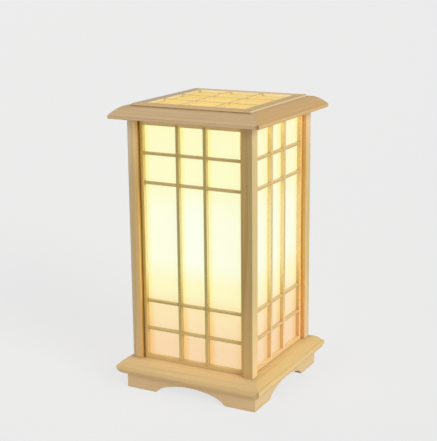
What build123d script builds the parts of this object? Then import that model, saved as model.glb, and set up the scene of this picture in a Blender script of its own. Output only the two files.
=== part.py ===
from build123d import *
import os
from math import sqrt

# Paper lantern of softwood on a moulded base with bracket feet: four posts, kumiko lattice panels backed with
# paper, a moulded cap and a lift-out lattice panel in the cap's opening. A bulb stands on a pipe inside.
# Millimetres. +Z up, origin at the middle of the footprint on the floor. The front faces -Y.
# Pieces that repeat on the four sides are drawn on the right-hand side (+X) and turned about Z.

# ---------------------------------------------------------------- driving dimensions
# Fits
glue_gap = 0.1            # glue line round a tenon, a lap or a housed end, on each side
slip_gap = 0.2            # paper and beads to what frames them
seat_gap = 0.3            # loose pieces to their seats
thread_gap = 0.05         # threaded pieces, on the radius

# Overall
overall_height = 450.0
cap_width = 250.0         # over the cap's lip
eave = 20.6               # the cap's overhang past the outer faces of the posts
base_spread = 20.1        # the base lip's overhang past them

# Apron with bracket feet
apron_setback = 12.5      # from the base's lip in to the apron
apron_thickness = 12.0
apron_height = 34.0
foot_length = 51.0        # from the corner to the arch
arch_rise = 17.8
arch_shoulder = 17.0      # how much of the half arch its rounder end takes, the flat crown taking the rest
arch_crown_radius = 145.0
foot_ease = 0.8
glue_block_leg = 20.0
glue_block_clear = 3.0    # the blocks stop short of the floor

# Base moulding
base_rail_thickness = 15.4
base_cover = 6.4          # how far it reaches in past the posts
base_flat = 3.6           # the flat top goes this far past the posts, then the rounded top starts
base_round_swell = 1.8    # how far the rounded top stands out from its chord
base_lip_drop = 10.8      # from the flat top down to the lip
base_ledge = 3.0          # narrow ledge above the lip, before the rounded top starts
base_ledge_rise = 1.0
base_lip = 7.0            # height of the square lip
quirk = 1.1               # small step between the lip and the bead under it
lip_bead = 9.5            # height of the bead, down to where it meets the apron
lip_bead_ledge = 1.0
lip_bead_swell = 1.5

# Cap moulding
cap_thickness = 18.0
cap_cover = 2.4           # how far it reaches in past the posts
cap_lip = 5.0             # height of the square lip
cap_flat = 9.0            # the flat top goes this far out from the lid's rebate, then the rounded top starts
cap_round_swell = 1.1
lip_ease = 0.6

# Posts
post_size = 17.5
post_ease = 0.8
post_tenon = 10.0
post_tenon_foot = 12.0    # length into the base
post_tenon_head = 7.0     # length into the cap

# Lattice panels on the four sides
panel_recess = 7.0        # from the face of the posts back to the lattice
lattice_depth = 6.5
stile_sight = 5.0         # what shows of a stile beside its post
stile_tongue = 4.0        # what stands in the post's groove
bottom_rail = 6.0
top_rail = 10.0
upright_width = 5.0
upright_spacing = 46.0    # between the two uprights, centre to centre
cross_height = 4.0
cross_setback = 0.8       # the cross bars lie this far behind the face of the uprights
short_cell = 41.1         # height of the two rows above and the two below the long one
housing = 3.0             # how far a bar's end is let into its stile or rail
rail_tenon = 5.0
rail_tenon_thickness = 2.5
bar_ease = 0.4
paper_thickness = 0.5
bead_face = 5.0

# Lift-out top panel
lid_proud = 3.5           # how far it stands above the cap
lid_bearing = 14.5        # width of the cap's rebate that it rests on
lid_play = 0.5            # gap all round it in the cap's rebate
lid_member = 16.0         # width of its frame pieces
lid_rebate_depth = 6.5    # depth of the rebate in the cap that takes it
lid_ease = 0.8
lid_bar_width = 3.0
lid_bar_depth = 4.0
lid_bar_drop = 1.0        # the bars lie this far below the top of the frame
lid_cross_drop = 0.6      # and the cross bars this much lower again
lid_paper_rebate = 5.0
lid_bead_face = 4.7

# Base board and its screws
board_thickness = 6.0
screw_radius = 1.75
screw_head_radius = 3.5
screw_length = 16.0
screw_spacing = 90.0      # between the two screws on a side

# Cord grommet in the rear apron
cord_radius = 3.5
grommet_hole_radius = 5.5
grommet_flange_radius = 7.5
grommet_flange = 1.5
grommet_from_arch = 5.0   # sideways from the end of the arch
grommet_below_bead = 1.1  # from the foot of the base's bead down to its flange

# Threaded pipe, nuts and washers
pipe_radius = 5.0
pipe_bore_radius = 3.7
pipe_foot = 20.0          # its lower end, above the floor
nut_flats = 17.0
nut_thickness = 3.0
washer_radius = 10.0
washer_thickness = 1.0

# Lampholder
holder_foot = 146.0       # the lower end of its neck, above the floor
neck_radius = 8.0
neck_length = 10.0
cover_radius = 19.0
cover_height = 20.0
holder_wall = 2.2
skirt_radius = 20.0
skirt_length = 35.0
skirt_mouth_radius = 15.0
core_thickness = 7.0
core_boss_radius = 6.0
core_boss_height = 2.0
shell_bore_radius = 13.6
shell_wall = 0.5
shell_foot_clear = 2.0    # between the shell's foot and the core's boss
contact_radius = 3.5
contact_thickness = 1.2

# Bulb
bulb_radius = 30.0
bulb_length = 108.0       # from its contact to the top of the glass
bulb_wall = 1.0
bulb_neck_radius = 14.5
bulb_neck_rise = 36.0     # from the contact to the top of the straight neck
bulb_cap_radius = 13.2
bulb_cap_length = 26.0
bulb_cap_taper = 3.5
bulb_contact_radius = 4.5
bulb_contact_height = 2.5

# ---------------------------------------------------------------- worked out from them
cap_half = cap_width / 2
body_half = cap_half - eave
post_inner = body_half - post_size
post_centre = body_half - post_size / 2
cap_top = overall_height - lid_proud
cap_under = cap_top - cap_thickness
cap_inner = post_inner - cap_cover

base_half = body_half + base_spread
base_inner = post_inner - base_cover
base_height = apron_height + base_rail_thickness
base_lip_top = base_height - base_lip_drop
base_lip_foot = base_lip_top - base_lip
bead_foot = base_lip_foot - lip_bead
apron_half = base_half - apron_setback
apron_inner = apron_half - apron_thickness
arch_half = apron_half - foot_length
board_half = apron_inner - seat_gap
board_foot = apron_height - board_thickness
screw_row = (base_inner + apron_inner) / 2
grommet_place = arch_half + grommet_from_arch
grommet_height = bead_foot - grommet_below_bead - grommet_flange_radius

lattice_face = body_half - panel_recess
lattice_back = lattice_face - lattice_depth
lattice_mid = lattice_face - lattice_depth / 2
paper_back = lattice_back - paper_thickness
bead_depth = paper_back - post_inner   # their backs lie flush with the posts' inner faces
stile_edge = post_inner - stile_sight
stile_outer = post_inner + stile_tongue
cross_face = lattice_face - cross_setback
upright_places = (-upright_spacing / 2, upright_spacing / 2)
bottom_rail_top = base_height + bottom_rail
top_rail_foot = cap_under - top_rail
row_pitch = short_cell + cross_height
first_row = short_cell + cross_height / 2
cross_levels = (
    bottom_rail_top + first_row, bottom_rail_top + first_row + row_pitch,
    top_rail_foot - first_row - row_pitch, top_rail_foot - first_row,
)

lid_half = cap_inner + lid_bearing
lid_inner = lid_half - lid_member
lid_floor = cap_top - lid_rebate_depth
lid_foot = lid_floor + seat_gap
lid_bar_top = overall_height - lid_bar_drop
lid_bar_foot = lid_bar_top - lid_bar_depth
lid_cross_top = lid_bar_top - lid_cross_drop
lid_bar_place = (2 * lid_inner + lid_bar_width) / 6
lid_rebate_half = lid_inner + lid_paper_rebate
lid_bead_depth = lid_bar_foot - paper_thickness - lid_foot   # flush with the foot of the frame

cover_foot = holder_foot + neck_length
cover_top = cover_foot + cover_height
holder_top = cover_top + skirt_length
core_top = cover_top + core_thickness
contact_foot = core_top + core_boss_height
contact_top = contact_foot + contact_thickness
bulb_foot = contact_top + seat_gap

SIDES = {"right": 0, "back": 90, "left": 180, "front": 270}
CORNERS = {"back_right": 0, "back_left": 90, "front_left": 180, "front_right": 270}


# ---------------------------------------------------------------- helpers
def block(x, y, z):
    """A box between the two limits given along each axis."""
    size = [limits[1] - limits[0] for limits in (x, y, z)]
    middle = [(limits[0] + limits[1]) / 2 for limits in (x, y, z)]
    return Pos(*middle) * Box(*size)


def turned(angle, shape):
    """The shape turned about the lamp's vertical axis."""
    return Rot(0, 0, angle) * shape


def save(name, *solids):
    """Writes one node: one solid, or a group of separate ones."""
    shape = Compound(children=list(solids)) if len(solids) > 1 else solids[0]
    export_step(shape, f"parts/{name}.step")


def bulge(start, end, swell):
    """An arc from start to end that stands out to the right of its chord by swell."""
    run = Vector(*end) - Vector(*start)
    outward = Vector(run.Y, -run.X).normalized()
    middle = (Vector(*start) + Vector(*end)) * 0.5 + outward * swell
    return ThreePointArc(start, middle, end)


def mitred(section, reach):
    """A section drawn in the XZ plane, run along the right-hand side and mitred at both corners."""
    run = extrude(Plane.XZ * section, amount=reach, both=True)
    wedge = Polyline((0, 0), (2 * reach, -2 * reach), (2 * reach, 2 * reach), close=True)
    return run & extrude(make_face(wedge), amount=2 * overall_height)


def revolved(outline):
    """A closed outline of radius and height, turned once round the lamp's axis."""
    return revolve(Plane.XZ * make_face(outline), Axis.Z)


def eased_bar(width, depth, ease):
    """Section of a bar whose two front arrises are chamfered; the front faces +X, the back lies on X = 0."""
    half = width / 2
    return make_face(
        Polyline(
            (0, -half), (depth - ease, -half), (depth, -half + ease),
            (depth, half - ease), (depth - ease, half), (0, half), close=True,
        )
    )


# ---------------------------------------------------------------- base
def apron():
    """Mitred board with a basket arch: a flat crown arc and a rounder arc down to each foot."""
    half_crown = arch_half - arch_shoulder
    crown_drop = arch_crown_radius - sqrt(arch_crown_radius**2 - half_crown**2)
    spring = arch_rise - crown_drop
    crown = ThreePointArc((-half_crown, spring), (0, arch_rise), (half_crown, spring))
    shoulder = TangentArc((half_crown, spring), (arch_half, 0), tangent=crown % 1)
    arch = crown + shoulder + mirror(shoulder, Plane.YZ)
    opening = make_face(arch + Line((-arch_half, 0), (arch_half, 0)))
    section = make_face(
        Polyline(
            (apron_inner, 0), (apron_half - foot_ease, 0), (apron_half, foot_ease),
            (apron_half, apron_height), (apron_inner, apron_height), close=True,
        )
    )
    cutter = extrude(Plane.YZ * opening, amount=cap_width)
    return mitred(section, apron_half) - cutter


def base_rail():
    """Mitred moulding: flat top, rounded slope, ledge, square lip, and a bead that runs in to the apron."""
    ledge_top = (base_half - base_ledge, base_lip_top + base_ledge_rise)
    flat_end = (body_half + base_flat, base_height)
    bead_top = (base_half - quirk, base_lip_foot - quirk)
    bead_end = (apron_half + lip_bead_ledge, bead_foot)
    outline = Polyline(
        bead_end, (apron_half, bead_foot), (apron_half, apron_height), (base_inner, apron_height),
        (base_inner, base_height), flat_end,
    )
    outline += bulge(ledge_top, flat_end, base_round_swell)
    outline += Polyline(
        ledge_top, (base_half - lip_ease, base_lip_top), (base_half, base_lip_top - lip_ease),
        (base_half, base_lip_foot + lip_ease), (base_half - lip_ease, base_lip_foot),
        (base_half - quirk, base_lip_foot), bead_top,
    )
    outline += bulge(bead_end, bead_top, lip_bead_swell)
    return mitred(make_face(outline), base_half)


def post_mortise(low, high):
    """Square hole at the back right corner for a post's tenon."""
    reach = (post_centre - post_tenon / 2 - glue_gap, post_centre + post_tenon / 2 + glue_gap)
    return block(reach, reach, (low, high))


def screw_places():
    """The two places of the right-hand row, as (x, y)."""
    return [(screw_row, y) for y in (-screw_spacing / 2, screw_spacing / 2)]


def board_screw():
    """Countersunk wood screw with its head flush with the underside of the board."""
    head_depth = screw_head_radius - screw_radius
    tip_start = screw_length - screw_radius * 2
    return revolved(
        Polyline(
            (0, 0), (screw_head_radius, 0), (screw_radius, head_depth),
            (screw_radius, tip_start), (0, screw_length), close=True,
        )
    )


def screw_hole(gap):
    """Room for a screw: its shape grown by a gap on the radius."""
    head_depth = screw_head_radius - screw_radius
    return revolved(
        Polyline(
            (0, -gap), (screw_head_radius + gap, -gap), (screw_head_radius + gap, 0),
            (screw_radius + gap, head_depth), (screw_radius + gap, screw_length + gap),
            (0, screw_length + gap), close=True,
        )
    )


def screw_holes(gap):
    """The holes of the right-hand row, from the underside of the board up."""
    return [Pos(x, y, board_foot) * screw_hole(gap) for x, y in screw_places()]


def base_board():
    """Board under the base mouldings, with the pipe's hole in the middle and countersunk screw holes."""
    board = block((-board_half, board_half), (-board_half, board_half), (board_foot, apron_height))
    board -= Pos(0, 0, apron_height) * Cylinder(pipe_radius + slip_gap, 2 * board_thickness)
    for angle in SIDES.values():
        for hole in screw_holes(glue_gap):
            board -= turned(angle, hole)
    return board


def glue_block():
    """Triangular block in the inner corner of two aprons, up to the board."""
    inner = apron_inner - glue_block_leg
    outline = Polyline((apron_inner, apron_inner), (inner, apron_inner), (apron_inner, inner), close=True)
    return Pos(0, 0, glue_block_clear) * extrude(make_face(outline), amount=board_foot - glue_block_clear)


def grommet():
    """Rubber bush with a flange on each side of the apron, drawn up the Z axis from its outer flange."""
    length = apron_thickness + 2 * grommet_flange
    return revolved(
        Polyline(
            (cord_radius, 0), (grommet_flange_radius, 0), (grommet_flange_radius, grommet_flange),
            (grommet_hole_radius - thread_gap, grommet_flange),
            (grommet_hole_radius - thread_gap, length - grommet_flange),
            (grommet_flange_radius, length - grommet_flange), (grommet_flange_radius, length),
            (cord_radius, length), close=True,
        )
    )


def make_base():
    apron_piece = apron()
    rail = base_rail()
    mortise_low = base_height - post_tenon_foot - glue_gap
    for angle in (0, -90):
        rail -= turned(angle, post_mortise(mortise_low, base_height))
    for hole in screw_holes(glue_gap):
        rail -= hole
    grommet_spot = Pos(grommet_place, apron_half, grommet_height) * Rot(90, 0, 0)
    grommet_hole = grommet_spot * Cylinder(grommet_hole_radius, 4 * apron_thickness)
    for side, angle in SIDES.items():
        board = turned(angle, apron_piece)
        if side == "back":
            board -= grommet_hole
        save(f"apron_{side}", board)
        save(f"base_rail_{side}", turned(angle, rail))
    save("corner_blocks", *[turned(angle, glue_block()) for angle in SIDES.values()])
    save("base_board", base_board())
    screws = []
    for angle in SIDES.values():
        screws += [turned(angle, Pos(x, y, board_foot) * board_screw()) for x, y in screw_places()]
    save("board_screws", *screws)
    outer_face = Pos(grommet_place, apron_half + grommet_flange, grommet_height) * Rot(90, 0, 0)
    save("cord_grommet", outer_face * grommet())


# ---------------------------------------------------------------- posts and cap
def post():
    """Square post at the back right corner, grooved for the stiles of two panels and tenoned at both ends."""
    square = Pos(post_centre, post_centre) * RectangleRounded(post_size, post_size, post_ease)
    groove_width = lattice_depth + 2 * glue_gap
    groove_depth = stile_tongue + glue_gap
    groove = Pos(lattice_mid, post_inner + groove_depth / 2) * Rectangle(groove_width, groove_depth)
    section = square - groove - mirror(groove, Plane((0, 0, 0), z_dir=(1, -1, 0)))
    shaft = Pos(0, 0, base_height) * extrude(section, amount=cap_under - base_height)
    reach = (post_centre - post_tenon / 2, post_centre + post_tenon / 2)
    foot = block(reach, reach, (base_height - post_tenon_foot, base_height))
    head = block(reach, reach, (cap_under, cap_under + post_tenon_head))
    return shaft + foot + head


def cap_rail():
    """Mitred moulding: square lip, convex top, and a rebate along the opening for the lift-out panel."""
    wall = lid_half + lid_play
    lip_top = (cap_half, cap_under + cap_lip)
    crown = (wall + cap_flat, cap_top)
    outline = Polyline(
        crown, (wall, cap_top), (wall, lid_floor), (cap_inner, lid_floor), (cap_inner, cap_under),
        (cap_half - lip_ease, cap_under), (cap_half, cap_under + lip_ease), lip_top,
    )
    outline += bulge(lip_top, crown, cap_round_swell)
    return mitred(make_face(outline), cap_half)


def make_posts_and_cap():
    post_piece = post()
    for corner, angle in CORNERS.items():
        save(f"post_{corner}", turned(angle, post_piece))
    rail = cap_rail()
    for angle in (0, -90):
        rail -= turned(angle, post_mortise(cap_under, cap_under + post_tenon_head + glue_gap))
    for side, angle in SIDES.items():
        save(f"cap_rail_{side}", turned(angle, rail))


# ---------------------------------------------------------------- lattice panels on the sides
def upright(y):
    """Bar that runs from rail to rail, halved at the back where the cross bars pass."""
    low = bottom_rail_top - housing
    length = top_rail_foot + housing - low
    section = eased_bar(upright_width, lattice_depth, bar_ease)
    bar = Pos(lattice_back, y, low) * extrude(section, amount=length)
    for level in cross_levels:
        reach = cross_height / 2 + glue_gap
        bar -= block((lattice_back, lattice_mid), (y - upright_width, y + upright_width),
                     (level - reach, level + reach))
    return bar


def cross_bar(level):
    """Thin bar from stile to stile, halved at the front where the uprights pass."""
    half_length = stile_edge + housing
    section = Plane.XZ * eased_bar(cross_height, cross_face - lattice_back, bar_ease)
    bar = Pos(lattice_back, 0, level) * extrude(section, amount=half_length, both=True)
    for place in upright_places:
        reach = upright_width / 2 + glue_gap
        bar -= block((lattice_mid - glue_gap, lattice_face), (place - reach, place + reach),
                     (level - cross_height, level + cross_height))
    return bar


def stile(side):
    """Edge piece of the lattice; its outer part stands in the post's groove. side is -1 or 1."""
    width = stile_outer - stile_edge
    middle = (stile_outer + stile_edge) / 2
    length = cap_under - base_height
    section = eased_bar(width, lattice_depth, bar_ease)
    piece = Pos(lattice_back, side * middle, base_height) * extrude(section, amount=length)
    inner, outer = sorted((side * stile_edge, side * (stile_edge + housing + glue_gap)))
    for level in cross_levels:
        reach = cross_height / 2 + glue_gap
        piece -= block((lattice_back, cross_face + glue_gap), (inner, outer), (level - reach, level + reach))
    inner, outer = sorted((side * stile_edge, side * (stile_edge + rail_tenon + glue_gap)))
    tenon = rail_tenon_thickness / 2 + glue_gap
    for low, high in ((base_height, bottom_rail_top), (top_rail_foot, cap_under)):
        piece -= block((lattice_mid - tenon, lattice_mid + tenon), (inner, outer), (low, high))
    return piece


def panel_rail(low, high):
    """Top or bottom piece of the lattice, tenoned into both stiles, with a housing for each upright."""
    middle = (low + high) / 2
    section = Plane.XZ * eased_bar(high - low, lattice_depth, bar_ease)
    rail = Pos(lattice_back, 0, middle) * extrude(section, amount=stile_edge, both=True)
    tenon_reach = stile_edge + rail_tenon
    rail += block((lattice_mid - rail_tenon_thickness / 2, lattice_mid + rail_tenon_thickness / 2),
                  (-tenon_reach, tenon_reach), (low, high))
    for place in upright_places:
        reach = upright_width / 2 + glue_gap
        rail -= block((lattice_back, lattice_face), (place - reach, place + reach),
                      (bottom_rail_top - housing - glue_gap, top_rail_foot + housing + glue_gap))
    return rail


def side_paper():
    """Sheet behind the lattice, between the posts."""
    half = post_inner - slip_gap
    return block((paper_back, lattice_back), (-half, half), (base_height + slip_gap, cap_under - slip_gap))


def side_beads():
    """Four mitred strips that hold the sheet against the lattice."""
    half = post_inner - slip_gap
    low = base_height + slip_gap
    high = cap_under - slip_gap
    inner = half - bead_face
    depth = (paper_back - bead_depth, paper_back)

    def strip(*corners):
        face = Plane.YZ * make_face(Polyline(*corners, close=True))
        return Pos(depth[0], 0, 0) * extrude(face, amount=bead_depth)

    upright_strip = ((half, low), (half, high), (inner, high - bead_face), (inner, low + bead_face))
    return [
        strip(*upright_strip),
        strip(*[(-y, z) for y, z in upright_strip]),
        strip((-half, low), (half, low), (inner, low + bead_face), (-inner, low + bead_face)),
        strip((-half, high), (half, high), (inner, high - bead_face), (-inner, high - bead_face)),
    ]


def make_panels():
    frame = [
        stile(-1), stile(1),
        panel_rail(base_height, bottom_rail_top), panel_rail(top_rail_foot, cap_under),
    ]
    groups = {
        "frame": frame,
        "uprights": [upright(place) for place in upright_places],
        "cross_bars": [cross_bar(level) for level in cross_levels],
        "paper": [side_paper()],
        "beads": side_beads(),
    }
    for side, angle in SIDES.items():
        for part, pieces in groups.items():
            save(f"{side}_{part}", *[turned(angle, piece) for piece in pieces])


# ---------------------------------------------------------------- lift-out top panel
def lid_member_piece():
    """Mitred frame piece with an eased top and a rebate below for the paper."""
    outline = Polyline(
        (lid_half, lid_foot), (lid_half, overall_height - lid_ease), (lid_half - lid_ease, overall_height),
        (lid_inner + lid_ease, overall_height), (lid_inner, overall_height - lid_ease),
        (lid_inner, lid_bar_foot), (lid_rebate_half, lid_bar_foot), (lid_rebate_half, lid_foot), close=True,
    )
    piece = mitred(make_face(outline), lid_half)
    for place in (-lid_bar_place, lid_bar_place):
        reach = lid_bar_width / 2 + glue_gap
        piece -= block((0, lid_inner + housing + glue_gap), (place - reach, place + reach),
                       (lid_bar_foot, lid_bar_top + glue_gap))
    return piece


def lid_bar(place, top, lap):
    """Bar along Y at one place, halved on the given side (low or high) where the other bars cross it."""
    half_length = lid_inner + housing
    half_width = lid_bar_width / 2
    bar = block((place - half_width, place + half_width), (-half_length, half_length), (lid_bar_foot, top))
    middle = (lid_bar_foot + lid_cross_top) / 2
    limits = {"low": (lid_bar_foot, middle), "high": (middle - glue_gap, lid_bar_top)}[lap]
    for crossing in (-lid_bar_place, lid_bar_place):
        reach = half_width + glue_gap
        bar -= block((place - lid_bar_width, place + lid_bar_width),
                     (crossing - reach, crossing + reach), limits)
    return bar


def make_lid():
    member = lid_member_piece()
    for side, angle in SIDES.items():
        save(f"lid_frame_{side}", turned(angle, member))
    places = (-lid_bar_place, lid_bar_place)
    save("lid_long_bars", *[lid_bar(place, lid_bar_top, "low") for place in places])
    save("lid_cross_bars", *[turned(90, lid_bar(place, lid_cross_top, "high")) for place in places])
    half = lid_rebate_half - slip_gap
    paper_foot = lid_bar_foot - paper_thickness
    save("lid_paper", block((-half, half), (-half, half), (paper_foot, lid_bar_foot)))
    inner = half - lid_bead_face
    outline = Polyline((inner, -inner), (half, -half), (half, half), (inner, inner), close=True)
    bead = Pos(0, 0, paper_foot - lid_bead_depth) * extrude(make_face(outline), amount=lid_bead_depth)
    save("lid_beads", *[turned(angle, bead) for angle in SIDES.values()])


# ---------------------------------------------------------------- pipe and lampholder
def nut(foot):
    """Hexagon nut on the pipe."""
    blank = extrude(RegularPolygon(nut_flats / 2, 6, major_radius=False), amount=nut_thickness)
    return Pos(0, 0, foot) * (blank - Cylinder(pipe_radius + thread_gap, 4 * nut_thickness))


def washer(foot):
    """Flat washer on the pipe."""
    ring = Circle(washer_radius) - Circle(pipe_radius + slip_gap)
    return Pos(0, 0, foot) * extrude(ring, amount=washer_thickness)


def holder_cover():
    """Lower cover: a neck that screws on to the pipe and a flared cup."""
    bore = pipe_radius + thread_gap
    inside = cover_radius - holder_wall
    shoulder = cover_foot + holder_wall
    outline = Polyline(
        (bore, shoulder), (bore, holder_foot), (neck_radius, holder_foot), (neck_radius, cover_foot),
    )
    outline += bulge((neck_radius, cover_foot), (cover_radius, cover_top - holder_wall), holder_wall)
    outline += Polyline(
        (cover_radius, cover_top - holder_wall), (cover_radius, cover_top), (inside, cover_top),
        (inside, cover_top - holder_wall),
    )
    outline += bulge((inside, cover_top - holder_wall), (bore, shoulder), -holder_wall)
    return revolved(outline)


def holder_skirt():
    """Outer shell with an inward lip at its mouth and a lip below that rests on the cover."""
    inside = skirt_radius - holder_wall
    return revolved(
        Polyline(
            (inside, cover_top), (skirt_radius, cover_top), (skirt_radius, holder_top - holder_wall),
            (skirt_radius - holder_wall / 2, holder_top), (skirt_mouth_radius, holder_top),
            (skirt_mouth_radius, holder_top - holder_wall), (inside, holder_top - holder_wall), close=True,
        )
    )


def holder_core():
    """Insulating disc on the rim of the cover, with a boss in the middle that carries the contact."""
    radius = skirt_radius - holder_wall - slip_gap
    return revolved(
        Polyline(
            (0, cover_top), (radius, cover_top), (radius, core_top), (core_boss_radius, core_top),
            (core_boss_radius, contact_foot), (0, contact_foot), close=True,
        )
    )


def screw_shell():
    """Thin metal sleeve that takes the bulb's cap, with an inward foot that is riveted to the core."""
    outside = shell_bore_radius + shell_wall
    foot_inner = core_boss_radius + shell_foot_clear
    top = holder_top - holder_wall - slip_gap
    return revolved(
        Polyline(
            (foot_inner, core_top), (outside, core_top), (outside, top), (shell_bore_radius, top),
            (shell_bore_radius, core_top + shell_wall), (foot_inner, core_top + shell_wall), close=True,
        )
    )


def make_lamp():
    pipe_top = cover_foot
    tube = Circle(pipe_radius) - Circle(pipe_bore_radius)
    save("pipe", Pos(0, 0, pipe_foot) * extrude(tube, amount=pipe_top - pipe_foot))
    upper_washer = apron_height
    lower_washer = board_foot - washer_thickness
    save("pipe_washers", washer(upper_washer), washer(lower_washer))
    save("pipe_nuts", nut(upper_washer + washer_thickness), nut(lower_washer - nut_thickness))
    save("holder_cover", holder_cover())
    save("holder_skirt", holder_skirt())
    save("holder_core", holder_core())
    save("screw_shell", screw_shell())
    contact = extrude(Circle(contact_radius), amount=contact_thickness)
    save("centre_contact", Pos(0, 0, contact_foot) * contact)


# ---------------------------------------------------------------- bulb
def bulb_glass():
    """Thin shell: a ball that runs through a hollow curve into a straight neck, which stands in the cap.

    The hollow curve is the arc that touches both the ball and the neck, so its radius follows from theirs.
    """
    centre = bulb_foot + bulb_length - bulb_radius
    neck_top = bulb_foot + bulb_neck_rise
    drop = centre - neck_top
    blend = (bulb_neck_radius**2 + drop**2 - bulb_radius**2) / (2 * (bulb_radius - bulb_neck_radius))

    def ball_and_hollow(inset):
        """The two arcs of one face of the glass, and the top of the straight neck."""
        ball = bulb_radius - inset
        share = ball / (bulb_radius + blend)
        joint = ((bulb_neck_radius + blend) * share, centre - drop * share)
        neck = (bulb_neck_radius - inset, neck_top)
        ball_arc = ThreePointArc((0, centre + ball), (ball, centre), joint)
        return ball_arc + TangentArc(joint, neck, tangent=ball_arc % 1), neck

    outer, outer_neck = ball_and_hollow(0)
    inner, inner_neck = ball_and_hollow(bulb_wall)
    cap_rim = bulb_foot + bulb_cap_length
    stem_foot = cap_rim - bulb_cap_taper
    stem = bulb_cap_radius - bulb_wall
    outline = outer + inner + Line((0, centre + bulb_radius), (0, centre + bulb_radius - bulb_wall))
    outline += Polyline(
        outer_neck, (bulb_neck_radius, cap_rim), (stem, cap_rim), (stem, stem_foot),
        (stem - bulb_wall, stem_foot), (stem - bulb_wall, cap_rim + bulb_wall),
        (inner_neck[0], cap_rim + bulb_wall), inner_neck,
    )
    return revolved(outline)


def bulb_cap():
    """Metal screw cap with a taper below that carries the contact; the neck of the glass stands in it."""
    foot = bulb_foot + bulb_contact_height
    rim = bulb_foot + bulb_cap_length
    wall = bulb_wall - slip_gap
    neck_foot = rim - bulb_cap_taper
    return revolved(
        Polyline(
            (0, foot), (bulb_contact_radius, foot), (bulb_cap_radius - wall, foot + bulb_cap_taper),
            (bulb_cap_radius, foot + bulb_cap_taper), (bulb_cap_radius, rim - glue_gap),
            (bulb_cap_radius - wall, rim - glue_gap), (bulb_cap_radius - wall, neck_foot - glue_gap),
            (0, neck_foot - glue_gap), close=True,
        )
    )


def make_bulb():
    save("bulb_glass", bulb_glass())
    save("bulb_cap", bulb_cap())
    contact = extrude(Circle(bulb_contact_radius), amount=bulb_contact_height)
    save("bulb_contact", Pos(0, 0, bulb_foot) * contact)


os.makedirs("parts", exist_ok=True)
make_base()
make_posts_and_cap()
make_panels()
make_lid()
make_lamp()
make_bulb()
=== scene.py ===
from math import cos, pi, radians, sin

import bpy
import numpy as np
from bpy.props import FloatProperty, FloatVectorProperty, IntProperty, PointerProperty
from mathutils import Matrix, Vector


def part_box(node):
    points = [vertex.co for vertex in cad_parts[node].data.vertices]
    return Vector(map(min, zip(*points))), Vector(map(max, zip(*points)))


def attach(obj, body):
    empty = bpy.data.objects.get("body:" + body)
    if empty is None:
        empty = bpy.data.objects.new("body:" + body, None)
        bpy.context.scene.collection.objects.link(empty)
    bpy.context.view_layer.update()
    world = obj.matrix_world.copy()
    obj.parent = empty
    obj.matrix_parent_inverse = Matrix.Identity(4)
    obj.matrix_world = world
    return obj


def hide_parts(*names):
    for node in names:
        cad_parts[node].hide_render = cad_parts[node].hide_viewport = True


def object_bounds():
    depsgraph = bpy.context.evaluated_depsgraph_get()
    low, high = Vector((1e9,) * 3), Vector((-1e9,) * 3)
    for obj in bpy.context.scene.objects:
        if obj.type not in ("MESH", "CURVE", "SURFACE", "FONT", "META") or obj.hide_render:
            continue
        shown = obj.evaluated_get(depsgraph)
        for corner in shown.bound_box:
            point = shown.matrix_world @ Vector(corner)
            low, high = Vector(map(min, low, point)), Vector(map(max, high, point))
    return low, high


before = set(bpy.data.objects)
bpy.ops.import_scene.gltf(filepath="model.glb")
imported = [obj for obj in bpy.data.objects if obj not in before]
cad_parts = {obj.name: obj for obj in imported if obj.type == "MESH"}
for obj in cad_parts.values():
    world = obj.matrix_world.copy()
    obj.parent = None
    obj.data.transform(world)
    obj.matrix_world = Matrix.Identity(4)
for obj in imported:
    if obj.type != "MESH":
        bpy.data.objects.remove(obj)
cad_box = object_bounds()

bl_info = {
    "name": "Andon lantern lamp",
    "version": (1, 0, 0),
    "blender": (4, 5, 0),
    "location": "3D View > Sidebar > Andon",
    "description": "Finishes a softwood and paper lantern lamp with its holder and bulb, on a pale stage",
    "category": "Object",
}

MM = 0.001
LANTERN, BULB = "lantern", "bulb"
SIDES = ("front", "right", "back", "left")
CORNERS = ("front_left", "front_right", "back_right", "back_left")
LENGTHWAYS = {"front": "X", "right": "Y", "back": "X", "left": "Y"}
FULL = (1, 1, 1)  # a share that changes nothing


# ---------------------------------------------------------------- settings
def colour(name, description, default):
    """A colour setting, as scene-linear red, green and blue, or a share of such a colour."""
    return FloatVectorProperty(
        name=name, description=description, default=default, subtype="COLOR", size=3, min=0, soft_max=1
    )


def length(name, description, default):
    """A length setting, in metres."""
    return FloatProperty(name=name, description=description, default=default, unit="LENGTH", precision=5)


def angle(name, description, degrees):
    """An angle setting."""
    return FloatProperty(name=name, description=description, default=radians(degrees), subtype="ANGLE")


def share(name, description, default):
    """A plain number, usually from 0 to 1."""
    return FloatProperty(name=name, description=description, default=default, min=0)


def count(name, description, default):
    """A setting for a whole number of faces or ribs."""
    return IntProperty(name=name, description=description, default=default, min=6)


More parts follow.
